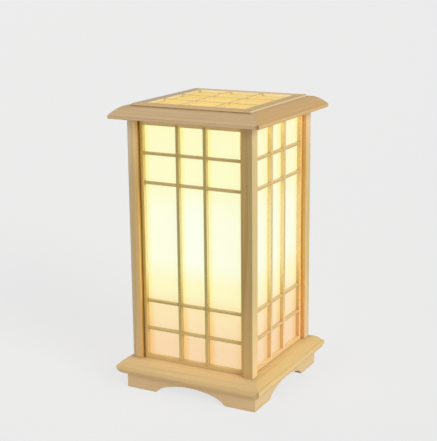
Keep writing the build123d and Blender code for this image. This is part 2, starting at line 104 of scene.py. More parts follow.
class AndonWood(bpy.types.PropertyGroup):
    # Each wood has a front-and-back tone and a left-and-right tone. The difference between them is painted
    # light and shade of the key light from the right.
    apron: colour("Apron", "Front and back aprons", (0.71, 0.52, 0.295))
    apron_side: colour("Apron sides", "Left and right aprons", (0.745, 0.57, 0.32))
    base: colour("Base", "Front and back base mouldings", (0.72, 0.515, 0.268))
    base_side: colour("Base sides", "Left and right base mouldings", (0.69, 0.50, 0.235))
    # The posts' front faces carry painted shade and their sides painted light, as the key light falls.
    post: colour("Posts", "Front and back faces of the posts", (0.53, 0.42, 0.26))
    post_side: colour("Post sides", "Left and right faces of the posts", (0.68, 0.52, 0.26))
    # Painted light: post_foot is warm bounce light from the base, and post_head lightens away the shadow under
    # the cap.
    post_foot: colour("Post foot", "Posts just over the base, as a share", (1.20, 1.17, 1.10))
    post_head: colour("Post head", "Posts just under the cap, as a share", (1.12, 1.17, 1.28))
    # Painted shade in the recess between a post and its lattice: deep brown on the front left post, and warm
    # orange with painted glow on the others.
    recess_shade_left: colour("Left recess", "Front left post beside the front lattice, as a share",
                        (0.12, 0.075, 0.001))
    recess_shade_right: colour("Right recess", "Posts beside the other lattices, as a share", (1.05, 0.81, 0.37))
    # Cap front and side tones: painted light and shade by which way the faces look.
    cap: colour("Cap", "Front and back cap mouldings", (0.60, 0.43, 0.245))
    cap_side: colour("Cap sides", "Left and right cap mouldings", (0.66, 0.435, 0.185))
    # Top panel tones: tops, upright edges and bar cheeks of one wood. They are lit and shaded copies that
    # paint the light of the lamps and the paper's glow.
    lid: colour("Top frame", "Frame of the top panel", (0.63, 0.44, 0.225))
    lid_edge: colour("Top frame's edges", "Upright faces of that frame", (0.72, 0.60, 0.41))
    lid_bars: colour("Top bars", "Bars of the top panel", (0.655, 0.54, 0.24))
    lid_cheeks: colour("Top bars' cheeks", "Sides of those bars", (0.62, 0.50, 0.29))
    stiles: colour("Stiles", "Stiles of the lattices", (0.71, 0.465, 0.112))
    rails: colour("Rails", "Top and bottom rails of the lattices", (0.74, 0.54, 0.24))
    uprights: colour("Uprights", "Upright bars of the lattices", (0.475, 0.37, 0.123))
    crossings: colour("Cross bars", "Thin cross bars of the lattices", (0.59, 0.44, 0.185))
    # Painted light and shade of the lattice bars: cheeks lit by the paper's glow, darker cheeks at the foot,
    # glare beside the bulb, the cap's shadow lightened away, and key light on the side lattices.
    cheeks: colour("Cheeks", "Sides of the lattice bars", (0.49, 0.39, 0.18))
    low_cheeks: colour("Low cheeks", "Bars' sides at the foot, as a share", (0.90, 0.88, 0.88))
    glare_cheeks: colour("Cheeks in the glare", "Bars' sides beside the bulb, as a share", (1.10, 1.20, 1.42))
    glare_face: colour("Faces in the glare", "Bars' faces beside the bulb, as a share", (0.89, 0.98, 1.0))
    under_cap: colour("Bars under the cap", "Bars just under the cap, as a share", (1.26, 1.31, 1.35))
    side_share: colour("Side lattices", "Left and right lattices, as a share", (1.28, 1.22, 1.55))
    side_cheeks: colour("Side cheeks", "Bars' sides on the left and right, as a share", (1.31, 1.22, 1.27))
    inner: colour("Inner wood", "Beads and corner blocks", (0.66, 0.50, 0.31))
    board: colour("Base board", "Face veneer of the base board", (0.62, 0.46, 0.28))
    ring_spacing: length("Ring spacing", "Distance between growth rings", 0.0034)
    ring_strength: share("Ring strength", "How dark the late wood of a ring is", 0.22)
    fibre_strength: share("Fibre strength", "How much the fine fibres darken the wood", 0.16)
    edge_radius: length("Edge radius", "How far the arrises are rounded by hand", 0.0005)
    wear: share("Edge wear", "How pale the rubbed arrises are", 0.35)
    # joint_shade is the strength of the painted shade where surfaces meet in a corner.
    joint_shade: share("Joint shade", "How dark the wood gets where two pieces meet", 0.45)


class AndonGlow(bpy.types.PropertyGroup):
    paper: colour("Paper", "The paper's own colour", (0.09, 0.10, 0.14))
    # Painted light: the bulb's glow through the papers is painted into their emission, by height.
    foot: colour("Foot", "Side papers at the foot", (0.851, 0.592, 0.317))
    low: colour("Low rows", "Side papers behind the low rows", (0.881, 0.687, 0.352))
    waist: colour("Waist", "Side papers under the bulb", (0.896, 0.832, 0.445))
    belly: colour("Bulb height", "Side papers beside the bulb", (0.886, 0.884, 0.645))
    shoulder: colour("Shoulder", "Side papers over the bulb", (0.892, 0.868, 0.495))
    head: colour("Head", "Side papers under the cap", (0.906, 0.872, 0.49))
    # Painted shadow of the uprights and stiles on the paper beside them.
    beside: colour("Beside bars", "Share left beside an upright or a stile", (0.99, 0.94, 0.56))
    beside_foot: colour("Beside bars, foot", "The same behind the low rows", (0.97, 0.80, 0.42))
    beside_reach: length("Beside reach", "How far from an upright or a stile the glow is full again", 0.0095)
    # Painted hot spot of the bulb, and painted shares of the glow for each side.
    hot: colour("Hot spot", "Middle column beside the bulb, as a share", (1.0, 1.01, 1.12))
    front: colour("Front paper", "Front, back and left papers, as a share", (1.02, 1.035, 1.01))
    right: colour("Right paper", "Right paper, as a share", (0.985, 0.985, 1.0))
    # Painted glow of the bulb on the top paper.
    top_middle: colour("Top middle", "Top paper over the bulb", (0.84, 0.59, 0.14))
    top_edge: colour("Top edge", "Top paper near its frame", (0.80, 0.55, 0.122))
    spill: colour("Spill", "How much more the papers light the wood than they show", (2.1, 2.25, 2.2))
    bulb: colour("Bulb", "Glass of the bulb", (0.64, 0.57, 0.41))


class AndonHardware(bpy.types.PropertyGroup):
    columns: count("Columns", "Faces round a turned piece", 72)
    cap_pitch: length("Cap thread pitch", "Pitch of the bulb cap's rolled thread", 0.003629)
    cap_depth: length("Cap thread depth", "Depth of the bulb cap's rolled thread", 0.0011)
    thread_clear: length("Thread clearance", "Between the bulb's cap and the screw shell", 0.0003)
    pipe_pitch: length("Pipe pitch", "Pitch of the pipe's thread", 0.001)
    screw_pitch: length("Screw pitch", "Pitch of the board screws", 0.0014)
    skirt_ribs: count("Skirt ribs", "Grip ribs round the lampholder's skirt", 36)
    skirt_groove: length("Skirt groove", "Depth of the grooves between the ribs", 0.0006)


class AndonStage(bpy.types.PropertyGroup):
    background: share("Background", "Level of the floor and the backdrop, scene-linear", 0.8308)
    shade_share: share("Floor shade", "How much of its shadow the floor shows", 0.13)
    room: colour("Room light", "Even light from all round", (0.56, 0.56, 0.57))
    key: colour("Key light", "Soft light from the right", (1.0, 0.99, 0.89))
    key_strength: share("Key strength", "Strength of the light from the right", 1.85)
    fill_strength: share("Fill strength", "Strength of the light from the front", 0.35)
    azimuth: angle("Azimuth", "Turn of the camera round the lamp", 28.11)
    elevation: angle("Elevation", "Height of the camera as an angle", 14.115)
    roll: angle("Roll", "Turn of the camera about its line of sight", -0.562)
    distance: length("Distance", "From the middle of the lamp to the camera", 1.708)
    aside: length("Aside", "How far the camera stands to its own left", 0.00601)
    above: length("Above", "How far the camera stands over that line", 0.0321)
    lens: FloatProperty(name="Lens", description="Focal length in millimetres", default=88.44)


SETTINGS = {
    "andon_wood": AndonWood, "andon_glow": AndonGlow,
    "andon_hardware": AndonHardware, "andon_stage": AndonStage,
}


# ---------------------------------------------------------------- node trees
class Graph:
    """A node tree with short ways to add nodes. A value is a number, a tuple or another node's output."""

    def __init__(self, tree):
        self.tree = tree

    def feed(self, socket, value):
        if isinstance(value, bpy.types.NodeSocket):
            self.tree.links.new(value, socket)
        elif socket.type == "RGBA":
            socket.default_value = (*value[:3], 1)
        else:
            socket.default_value = value

    def add(self, kind, values=None, **settings):
        node = self.tree.nodes.new(kind)
        for name, value in settings.items():
            setattr(node, name, value)
        for name, value in (values or {}).items():
            self.feed(node.inputs[name], value)
        return node

    def fill(self, node, values):
        """Feeds a node's sockets in their order and returns its outputs."""
        for socket, value in zip(node.inputs, values):
            self.feed(socket, value)
        return node.outputs

    def maths(self, operation, *values, clamp=False):
        return self.fill(self.add("ShaderNodeMath", operation=operation, use_clamp=clamp), values)[0]

    def times(self, first, second):
        return self.maths("MULTIPLY", first, second)

    def vector(self, operation, *values):
        outputs = self.fill(self.add("ShaderNodeVectorMath", operation=operation), values)
        return outputs["Value" if operation in ("LENGTH", "DISTANCE", "DOT_PRODUCT") else "Vector"]

    def in_mm(self, vector):
        scaled = self.vector("SCALE", vector)
        scaled.node.inputs["Scale"].default_value = 1 / MM
        return scaled

    def mix(self, amount, first, second, blend="MIX"):
        """Colour from first to second."""
        node = self.add("ShaderNodeMix", data_type="RGBA", blend_type=blend, clamp_factor=True)
        for index, value in ((0, amount), (6, first), (7, second)):
            self.feed(node.inputs[index], value)
        return node.outputs[2]

    def tint(self, body, share_left, amount=1.0):
        """The body's colour, of which a share is left where the amount is 1."""
        return self.mix(amount, body, share_left, "MULTIPLY")

    def mix_vector(self, amount, first, second):
        node = self.add("ShaderNodeMix", data_type="VECTOR", clamp_factor=True)
        for index, value in ((0, amount), (4, first), (5, second)):
            self.feed(node.inputs[index], value)
        return node.outputs[1]

    def between(self, value, low, high, to_low=0.0, to_high=1.0):
        """Value taken from the range low to high into the range to_low to to_high, eased and kept inside."""
        node = self.add("ShaderNodeMapRange", interpolation_type="SMOOTHSTEP")
        return self.fill(node, (value, low, high, to_low, to_high))[0]

    def ramp(self, value, stops):
        """Colours along value, as (place, colour) pairs."""
        node = self.add("ShaderNodeValToRGB", {"Fac": value})
        node.color_ramp.interpolation = "EASE"
        elements = node.color_ramp.elements
        for _ in stops[2:]:
            elements.new(1)
        for element, (place, shade) in zip(elements, stops):
            element.position = place
            element.color = (*shade, 1)
        return node.outputs["Color"]

    def noise(self, vector, scale, detail=2.0, roughness=0.5, output="Fac"):
        values = {"Vector": vector, "Scale": scale, "Detail": detail, "Roughness": roughness}
        return self.add("ShaderNodeTexNoise", values).outputs[output]

    def parts(self, vector):
        """The three numbers of a vector."""
        return self.add("ShaderNodeSeparateXYZ", {"Vector": vector}).outputs

    def normal(self, kind="Normal"):
        return self.add("ShaderNodeNewGeometry").outputs[kind]

    def place(self):
        return self.add("ShaderNodeTexCoord").outputs["Object"]

    def bump(self, height, strength, depth, **others):
        """A normal that follows the height. depth is in millimetres."""
        values = {"Height": height, "Strength": strength, "Distance": depth * MM, **others}
        return self.add("ShaderNodeBump", values).outputs[0]

    def effect(self, group, values):
        """One of the shared effects, placed with its own values."""
        node = self.add("ShaderNodeGroup", node_tree=group)
        for name, value in values.items():
            self.feed(node.inputs[name], value)
        return node.outputs


SOCKETS = {"number": "NodeSocketFloat", "colour": "NodeSocketColor", "vector": "NodeSocketVector"}


def shared_effect(name, inputs, outputs, build):
    """A shader node group, made once. build takes the graph and its input sockets and returns the outputs."""
    group = bpy.data.node_groups.get(name)
    if group:
        return group
    group = bpy.data.node_groups.new(name, "ShaderNodeTree")
    for way, sockets in (("INPUT", inputs), ("OUTPUT", outputs)):
        for label, kind in sockets.items():
            group.interface.new_socket(name=label, in_out=way, socket_type=SOCKETS[kind])
    graph = Graph(group)
    start = graph.add("NodeGroupInput")
    end = graph.add("NodeGroupOutput")
    for label, value in build(graph, start.outputs).items():
        graph.feed(end.inputs[label], value)
    return group


def grain_effect():
    """Growth rings as wandering cylinders round the grain's axis, with fibres drawn out along it."""

    def build(g, given):
        mm = g.in_mm(given["Vector"])
        drawn_out = g.vector("MULTIPLY", mm, (1.0, 1.0, 0.03))
        wander = g.times(g.maths("SUBTRACT", g.noise(drawn_out, 0.07), 0.5), 9.0)
        across = g.vector("LENGTH", g.vector("MULTIPLY", mm, (1.0, 1.0, 0.0)))
        spacing = g.maths("DIVIDE", given["Ring Spacing"], MM)
        turns = g.maths("DIVIDE", g.maths("ADD", across, wander), spacing)
        step = g.maths("FRACT", turns)
        ring = g.times(g.between(step, 0.35, 0.9), g.between(step, 0.9, 1.0, 1.0, 0.0))
        strong = g.between(g.noise(drawn_out, 0.16, 1.0), 0.35, 0.65, 0.25, 1.0)
        fine = g.noise(g.vector("MULTIPLY", mm, (1.0, 1.0, 0.012)), 2.4, 3.0, 0.65)
        return {
            "Rings": g.times(ring, strong),
            "Fibres": g.between(fine, 0.3, 0.7),
            "Drift": g.between(g.noise(drawn_out, 0.035, 1.0), 0.3, 0.7),
        }

    return shared_effect(
        "Softwood grain", {"Vector": "vector", "Ring Spacing": "number"},
        {"Rings": "number", "Fibres": "number", "Drift": "number"}, build,
    )


def arris_effect():
    """How far the rounded surface turns from the real one: 1 on an arris, 0 on a flat face."""

    def build(g, given):
        rounded = g.add("ShaderNodeBevel", {"Radius": given["Radius"]}, samples=4).outputs[0]
        turn = g.maths("SUBTRACT", 1.0, g.vector("DOT_PRODUCT", rounded, g.normal()))
        return {"Arris": g.between(turn, 0.02, 0.3), "Normal": rounded}

    return shared_effect(
        "Hand-eased arris", {"Radius": "number"}, {"Arris": "number", "Normal": "vector"}, build
    )


def joint_effect():
    """Painted shade: 1 deep in the corner where surfaces meet, 0 in the open."""

    def build(g, given):
        corner = g.add("ShaderNodeAmbientOcclusion", {"Distance": given["Reach"]}, samples=4)
        return {"Shade": g.between(corner.outputs["AO"], 0.95, 0.3, 0.0, 1.0)}

    return shared_effect("Joint shade", {"Reach": "number"}, {"Shade": "number"}, build)


def paper_effect():
    """Long fibres and soft clouds of handmade paper."""

    def build(g, given):
        mm = g.in_mm(given["Vector"])
        drift = g.noise(mm, 0.05, 1.0, output="Color")
        bent = g.vector("ADD", mm, g.vector("MULTIPLY", drift, (24.0, 24.0, 24.0)))
        threads = g.add("ShaderNodeTexVoronoi", {"Vector": bent, "Scale": 0.11}, feature="DISTANCE_TO_EDGE")
        fibre = g.between(threads.outputs["Distance"], 0.0, 0.035, 1.0, 0.0)
        gaps = g.between(g.noise(mm, 0.12, 1.0), 0.5, 0.62)
        clouds = g.between(g.noise(mm, 0.09, 4.0, 0.6), 0.3, 0.7)
        return {"Fibres": g.times(fibre, gaps), "Clouds": clouds}

    return shared_effect(
        "Handmade paper", {"Vector": "vector"}, {"Fibres": "number", "Clouds": "number"}, build
    )


def new_material(name):
    """An empty node material with its output, as (material, graph, output)."""
    material = bpy.data.materials.new(name)
    material.use_nodes = True
    material.node_tree.nodes.clear()
    graph = Graph(material.node_tree)
    return material, graph, graph.add("ShaderNodeOutputMaterial")


def principled(graph, output, values):
    shader = graph.add("ShaderNodeBsdfPrincipled", values)
    graph.feed(output.inputs["Surface"], shader.outputs[0])


# ---------------------------------------------------------------- places and shares
def times(first, second):
    """A colour times a share of it."""
    return tuple(a * b for a, b in zip(first, second))


def dress(node, material):
    """Gives a CAD node its finish."""
    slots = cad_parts[node].data.materials
    slots.clear()
    slots.append(material)


def limits(node, axis):
    """Lowest and highest place of a CAD node along one axis."""
    low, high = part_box(node)
    return low["XYZ".index(axis)], high["XYZ".index(axis)]


def reach(node, axis):
    """How far a CAD node reaches from the middle along one axis."""
    return max(abs(v) for v in limits(node, axis))


def inner_edge(node):
    """How far a CAD node stays from the middle along X."""
    return min(abs(v) for v in limits(node, "X"))


def bulb_height():
    """The height of the middle of the bulb's glass."""
    return sum(limits("bulb_glass", "Z")) / 2


def stile_edge():
    """The inner edge of the stiles, where the cross bars are let in by their housing."""
    housing = 3.0 * MM
    return reach("front_cross_bars", "X") - housing


def along_side(graph, place, side):
    """How far a place lies along a side from its middle, either way."""
    return graph.maths("ABSOLUTE", graph.parts(place)[LENGTHWAYS[side]])


def squareness(graph, axis):
    """How squarely a face looks along an axis, either way: 0 for not at all, 1 for straight along it."""
    return graph.maths("ABSOLUTE", graph.parts(graph.normal("True Normal"))[axis])


def faces_along(graph, axis):
    """1 on the faces that look along an axis, either way, and 0 on the others."""
    about_half_turned = 0.7
    return graph.maths("GREATER_THAN", squareness(graph, axis), about_half_turned)


def by_height(graph, z, first, *stops):
    """A share by height: each stop's share takes over from its lower to its upper height."""
    for low, high, tone in stops:
        first = graph.mix(graph.between(z, low, high), first, tone)
    return first


# ---------------------------------------------------------------- wood
GRAIN_TURN = {"X": (0, -pi / 2, 0), "Y": (pi / 2, 0, 0), "Z": (0, 0, 0)}
LATE_WOOD, FIBRE, DRIFT = (0.80, 0.68, 0.50), (0.86, 0.76, 0.58), (0.97, 0.92, 0.86)
# JOINT is the share left in the painted shade of the corners. RUBBED is the paler wear of rubbed arrises.
JOINT, RUBBED = (0.42, 0.30, 0.16), (1.12, 1.12, 1.10)
GOLDEN_ANGLE = 2.399963


def cut(number):
    """A piece's own place in its tree, in metres: off the pith, two ways, and up the trunk."""
    turn = number * GOLDEN_ANGLE
    off = 0.11 + 0.04 * sin(1.7 * number)
    return off * cos(turn), off * sin(turn), 0.37 * number


def along_grain(graph, place, axis, number):
    """Place turned so that the grain runs along Z, and moved to the piece's own cut of the tree."""
    values = {"Vector": place, "Rotation": GRAIN_TURN[axis], "Location": cut(number)}
    return graph.add("ShaderNodeMapping", values).outputs[0]


def plain_grain(axis, number):
    """One way of the grain for a whole node."""
    return lambda g, place: along_grain(g, place, axis, number)


def wood_material(name, tone, number, grain, arrises=True, shade=1.0, rings=1.0, fibres=1.0):
    """Softwood: rings and fibres on the tone, paler rubbed arrises, and painted shade in the joints.

    tone is a colour, or takes the graph and the place and returns one. grain is an axis, or takes the same
    two and returns the place along the grain. shade, rings and fibres are shares of the usual strength.
    """
    wood = bpy.context.scene.andon_wood
    material, g, output = new_material(name)
    place = g.place()
    grain = grain if callable(grain) else plain_grain(grain, number)
    marks = g.effect(grain_effect(), {"Vector": grain(g, place), "Ring Spacing": wood.ring_spacing})
    own = 1 + 0.03 * sin(2.1 * number)
    body = g.tint(tone(g, place) if callable(tone) else tone, (own, own, own))
    body = g.tint(body, LATE_WOOD, g.times(marks["Rings"], wood.ring_strength * 3 * rings))
    body = g.tint(body, FIBRE, g.times(marks["Fibres"], wood.fibre_strength * fibres))
    body = g.tint(body, DRIFT, g.times(marks["Drift"], 0.35))
    # Painted shade: the wood darkens in corners where surfaces meet, and shade scales it.
    if shade:
        joint = g.effect(joint_effect(), {"Reach": 5 * MM})["Shade"]
        body = g.tint(body, JOINT, g.times(joint, wood.joint_shade * shade))
    height = g.maths("ADD", g.times(marks["Fibres"], 0.6), g.times(marks["Rings"], -0.4))
    rounded = {}
    if arrises:
        arris = g.effect(arris_effect(), {"Radius": wood.edge_radius})
        body = g.tint(body, RUBBED, g.times(arris["Arris"], wood.wear))
        rounded = {"Normal": arris["Normal"]}
    principled(g, output, {
        "Base Color": body, "Roughness": g.between(marks["Rings"], 0.0, 1.0, 0.56, 0.47),
        "Normal": g.bump(height, 0.25, 0.06, **rounded), "Specular IOR Level": 0.35,
    })
    return material


def dress_wood(node, tone, number, grain, kind="Pine", **looks):
    """Finishes a CAD node in its own cut of wood."""
    dress(node, wood_material(f"{kind} {node}", tone, number, grain, **looks))


def moulding_tone(tone, flat, slope, lip):
    """A moulding's tone, with a share each for its flat top, its convex slope and its upright lip: painted
    light and shade by which way each face looks.
    """

    def made(g, place):
        up = squareness(g, "Z")
        of_face = g.mix(g.between(up, 0.2, 0.5), lip, slope)
        return g.tint(tone, g.mix(g.between(up, 0.96, 0.99), of_face, flat))

    return made


def darker_mitre_spot(tone, node, rise, dark):
    """The same tone, darker round one place of the front right mitre."""
    spot_at = limits(node, "X")[1], limits(node, "Y")[0], limits(node, "Z")[0] + rise

    def made(g, place):
        near = g.between(g.vector("DISTANCE", place, spot_at), 2 * MM, 7.5 * MM, 1.0, 0.0)
        return g.tint(tone(g, place), dark, near)

    return made


class ANDON_OT_base(bpy.types.Operator):
    """Finishes the aprons with their bracket feet and the base mouldings, each with its own cut of wood"""

    bl_idname = "andon.base"
    bl_label = "Base"

    def execute(self, context):
        wood = context.scene.andon_wood
        for number, side in enumerate(SIDES):
            axis = LENGTHWAYS[side]
            # The side tones and the flat, slope and lip shares are painted light and shade. apron_joint and
            # base_joint scale the painted shade of the joints.
            if axis == "X":
                apron, apron_joint, base_joint = wood.apron, 0.15, 0.5
                base = moulding_tone(
                    wood.base, flat=(0.98, 1.0, 1.04), slope=(1.03, 1.02, 0.98), lip=(1, 1, 0.93))
            else:
                apron, apron_joint, base_joint = wood.apron_side, 1.0, 0.35
                base = moulding_tone(
                    wood.base_side, flat=(0.96, 0.99, 1.04), slope=(0.99, 0.97, 0.90), lip=(1.07, 1.10, 1.12))
            if side == "front":
                base = darker_mitre_spot(base, "base_rail_front", 12 * MM, (0.78, 0.72, 0.58))
            dress_wood(f"apron_{side}", apron, 1 + number, axis, shade=apron_joint, rings=0.55)
            dress_wood(f"base_rail_{side}", base, 11 + number, axis, shade=base_joint, rings=0.55)
        return {"FINISHED"}


# Painted glow: the paper's light warms the wood of the posts beside the lattices.
PAINTED_GLOW = (1.28, 1.05, 0.58)  # the wood beside the lit papers, as a share


def post_tone(corner, looks):
    """A post's front and side tones, by height, warm beside the lattice, and its recess's own share: painted
    light and shade throughout.
    """
    wood = bpy.context.scene.andon_wood
    face, inner = reach("post_front_right", "X"), inner_edge("post_front_right")
    lattice = reach("front_frame", "Y")
    foot, head = limits("front_frame", "Z")
    front, side = times(wood.post, looks["front"]), times(wood.post_side, looks["side"])
    at_foot, at_head = times(wood.post_foot, looks["foot"]), times(wood.post_head, looks["head"])
    under = times(at_head, looks["under"])
    recess = wood.recess_shade_left if corner == "front_left" else wood.recess_shade_right

    def made(g, place):
        x, y, z = g.parts(place)
        x, y = g.maths("ABSOLUTE", x), g.maths("ABSOLUTE", y)
        # Front and side tones: painted light and shade of each face.
        body = g.mix(faces_along(g, "X"), front, side)
        beside = g.between(g.maths("MINIMUM", x, y), inner, face, 1.0, 0.0)
        body = g.tint(body, PAINTED_GLOW, g.times(beside, looks["warm"]))
        # By height: painted bounce light at the foot, and painted light that takes away the cap's shadow at
        # the head and just under the cap.
        body = g.tint(body, by_height(
            g, z, at_foot, (foot, foot + looks["foot_reach"], FULL),
            (head - looks["head_reach"], head, at_head), (head - 14 * MM, head - 2 * MM, under)))
        # A share along the inner arris over the long row: a painted highlight on the front left post, and a
        # darker line on the front right post.
        if looks["arris"]:
            long_row = g.times(g.between(z, foot + 0.07, foot + 0.11),
                               g.between(z, head - 0.15, head - 0.09, 1.0, 0.0))
            arris = g.between(x, inner, inner + 3 * MM, 1.0, 0.0)
            body = g.tint(body, looks["arris"], g.times(long_row, arris))
        # Painted shade in the recess beside each lattice.
        for a, b, dark in ((x, y, recess), (y, x, wood.recess_shade_right)):
            shown = g.times(g.maths("LESS_THAN", a, inner + 0.2 * MM),
                            g.between(b, lattice, face - 0.3 * MM, 1.0, 0.7))
            body = g.tint(body, dark, shown)
        return body

    return made


class ANDON_OT_posts(bpy.types.Operator):
    """Finishes the posts, with painted shade in the recess beside each lattice and a painted warm glow next to
    it
    """

    bl_idname = "andon.posts"
    bl_label = "Posts"

    # front, side, foot, head, under and warm are shares of painted light and shade. arris is a share along the
    # inner arris, and joint scales the painted joint shade.
    usual = {"front": FULL, "side": FULL, "foot": FULL, "head": FULL, "under": FULL, "warm": 0.25,
             "foot_reach": 0.12, "head_reach": 0.06, "arris": None, "joint": 1.0}
    own = {
        "front_left": {"foot": (0.875, 0.88, 0.955), "head": (1.2, 1.24, 1.4), "under": (1.14, 1.13, 1.13),
                       "warm": 1.0, "head_reach": 0.11, "arris": (1.35, 1.35, 1.27)},
        "front_right": {"front": (0.81, 0.74, 0.485), "side": (0.94, 1.01, 1.07), "foot": (1.08, 1.05, 1.15),
                        "head": (1.0, 0.96, 1.0), "under": (1.22, 1.20, 1.14), "foot_reach": 0.16,
                        "arris": (0.80, 0.78, 0.86), "joint": 0.2},
        "back_right": {"side": (1.0, 1.04, 1.07), "foot": (0.95, 0.92, 1.18), "head": (1.08, 1.02, 1.26),
                       "foot_reach": 0.16, "head_reach": 0.09},
    }

    def execute(self, context):
        for number, corner in enumerate(CORNERS, start=21):
            looks = {**self.usual, **self.own.get(corner, {})}
            tone = post_tone(corner, looks)
            dress_wood(f"post_{corner}", tone, number, "Z", shade=looks["joint"], fibres=2.2)
        return {"FINISHED"}


class ANDON_OT_cap(bpy.types.Operator):
    """Finishes the cap mouldings"""

    bl_idname = "andon.cap"
    bl_label = "Cap"

    def execute(self, context):
        wood = context.scene.andon_wood
        for number, side in enumerate(SIDES, start=31):
            axis = LENGTHWAYS[side]
            # The side tone and the flat, slope and lip shares are painted light and shade. shade=1.7 deepens
            # the painted shade in the groove round the top panel.
            if axis == "X":
                tone = moulding_tone(wood.cap, flat=(0.72, 0.64, 0.50), slope=(1.0, 1.03, 1.06), lip=FULL)
            else:
                tone = moulding_tone(
                    wood.cap_side, flat=FULL, slope=(0.87, 0.85, 0.85), lip=(1.04, 1.06, 1.09))
            if side == "front":
                tone = darker_mitre_spot(tone, "cap_rail_front", 3 * MM, (0.62, 0.48, 0.26))
            dress_wood(f"cap_rail_{side}", tone, number, axis, shade=1.7)
        return {"FINISHED"}


# Painted light and shade: bar tops lighter or darker by height, and cheeks lit by the paper's glow.
BAR_TOPS = {  # tops of the lattice bars at the foot, over the bulb and in the highest row, as shares
    "X": ((1.2, 1.18, 1.42), (0.75, 0.63, 0.66), (0.66, 0.58, 0.55)),
    "Y": ((1.12, 1.18, 1.55), (1.0, 0.95, 1.22), (0.84, 0.80, 0.92)),
}
BAR_CHEEKS = {  # cheeks of the stiles and of the uprights, as shares
    "X": ((1.05, 0.98, 1.12), (0.92, 0.90, 0.98)),
    "Y": ((0.87, 0.79, 0.87), (0.92, 0.95, 1.09)),
}


def bar_tone(axis, face_colour, cheek=FULL, gain=1.0):
    """A lattice bar's face, cheeks and top, by height, with painted light and shade. gain is how much the face
    takes of the side share.
    """
    wood = bpy.context.scene.andon_wood
    low, high = limits("front_frame", "Z")
    bulb = bulb_height()
    on_side = axis == "Y"
    paler = tuple(1 + gain * (left - 1) * on_side for left in wood.side_share)
    cheeks = times(times(cheek, wood.cheeks), wood.side_cheeks if on_side else FULL)
    foot, over_bulb, upmost = BAR_TOPS[axis]
    under_cap = (high - 0.035, high - 0.01, wood.under_cap)

    def made(g, place):
        z = g.parts(place)["Z"]
        # Painted light and shade: faces darker in the bulb's glare and paler on the side lattices and under
        # the cap. Cheeks are lit by the paper's glow, and tops change by height.
        face = g.mix(g.between(z, low, low + 0.1, 0.7, 0.0), face_colour, wood.rails)
        face = g.tint(g.tint(face, paler), by_height(
            g, z, FULL, (bulb - 0.1, bulb - 0.04, wood.glare_face),
            (bulb + 0.03, bulb + 0.08, FULL), under_cap))
        sides = g.tint(cheeks, by_height(
            g, z, wood.low_cheeks, (bulb - 0.1, bulb - 0.05, wood.glare_cheeks),
            (bulb + 0.03, bulb + 0.11, FULL), under_cap))
        tops = g.tint(sides, by_height(
            g, z, foot, (bulb, bulb + 0.06, over_bulb), (high - 0.06, high - 0.04, upmost)))
        return g.mix(faces_along(g, "X" if on_side else "Y"), g.mix(faces_along(g, "Z"), sides, tops), face)

    return made


def frame_tone(side, stile_cheek):
    """The stiles' tone, and the rails' between them."""
    wood = bpy.context.scene.andon_wood
    stiles = bar_tone(LENGTHWAYS[side], wood.stiles, stile_cheek, gain=1.5)
    rails = bar_tone(LENGTHWAYS[side], wood.rails, gain=0.4)

    def made(g, place):
        stile = g.maths("GREATER_THAN", along_side(g, place, side), stile_edge() - 0.2 * MM)
        return g.mix(stile, rails(g, place), stiles(g, place))

    return made


def frame_grain(side, number):
    """Grain along Z in the stiles and lengthways in the rails."""

    def made(g, place):
        stile = g.maths("GREATER_THAN", along_side(g, place, side), stile_edge())
        level = along_grain(g, place, LENGTHWAYS[side], number)
        return g.mix_vector(stile, level, along_grain(g, place, "Z", number))

    return made


class ANDON_OT_lattice(bpy.types.Operator):
    """Finishes the stiles, rails, uprights and cross bars of the four lattices"""

    bl_idname = "andon.lattice"
    bl_label = "Lattices"

    def execute(self, context):
        wood = context.scene.andon_wood
        for number, side in enumerate(SIDES, start=41):
            axis = LENGTHWAYS[side]
            stile_cheek, upright_cheek = BAR_CHEEKS[axis]
            uprights = bar_tone(axis, wood.uprights, upright_cheek, gain=2.0)
            # The cross bars' cheeks take a painted shade of 0.8.
            crossings = bar_tone(axis, wood.crossings, (0.8, 0.8, 0.8), gain=0.4)
            for part, tone, grain in (
                ("frame", frame_tone(side, stile_cheek), frame_grain(side, number)),
                ("uprights", uprights, plain_grain("Z", number + 4)),
                ("cross_bars", crossings, plain_grain(axis, number + 8)),
            ):
                dress_wood(f"{side}_{part}", tone, number, grain, shade=0)
        return {"FINISHED"}


def top_and_edges(top, edges):
    """One tone on the faces that look up or down, another on the upright ones: painted light and shade by
    facing.
    """
    return lambda g, place: g.mix(faces_along(g, "Z"), edges, top)


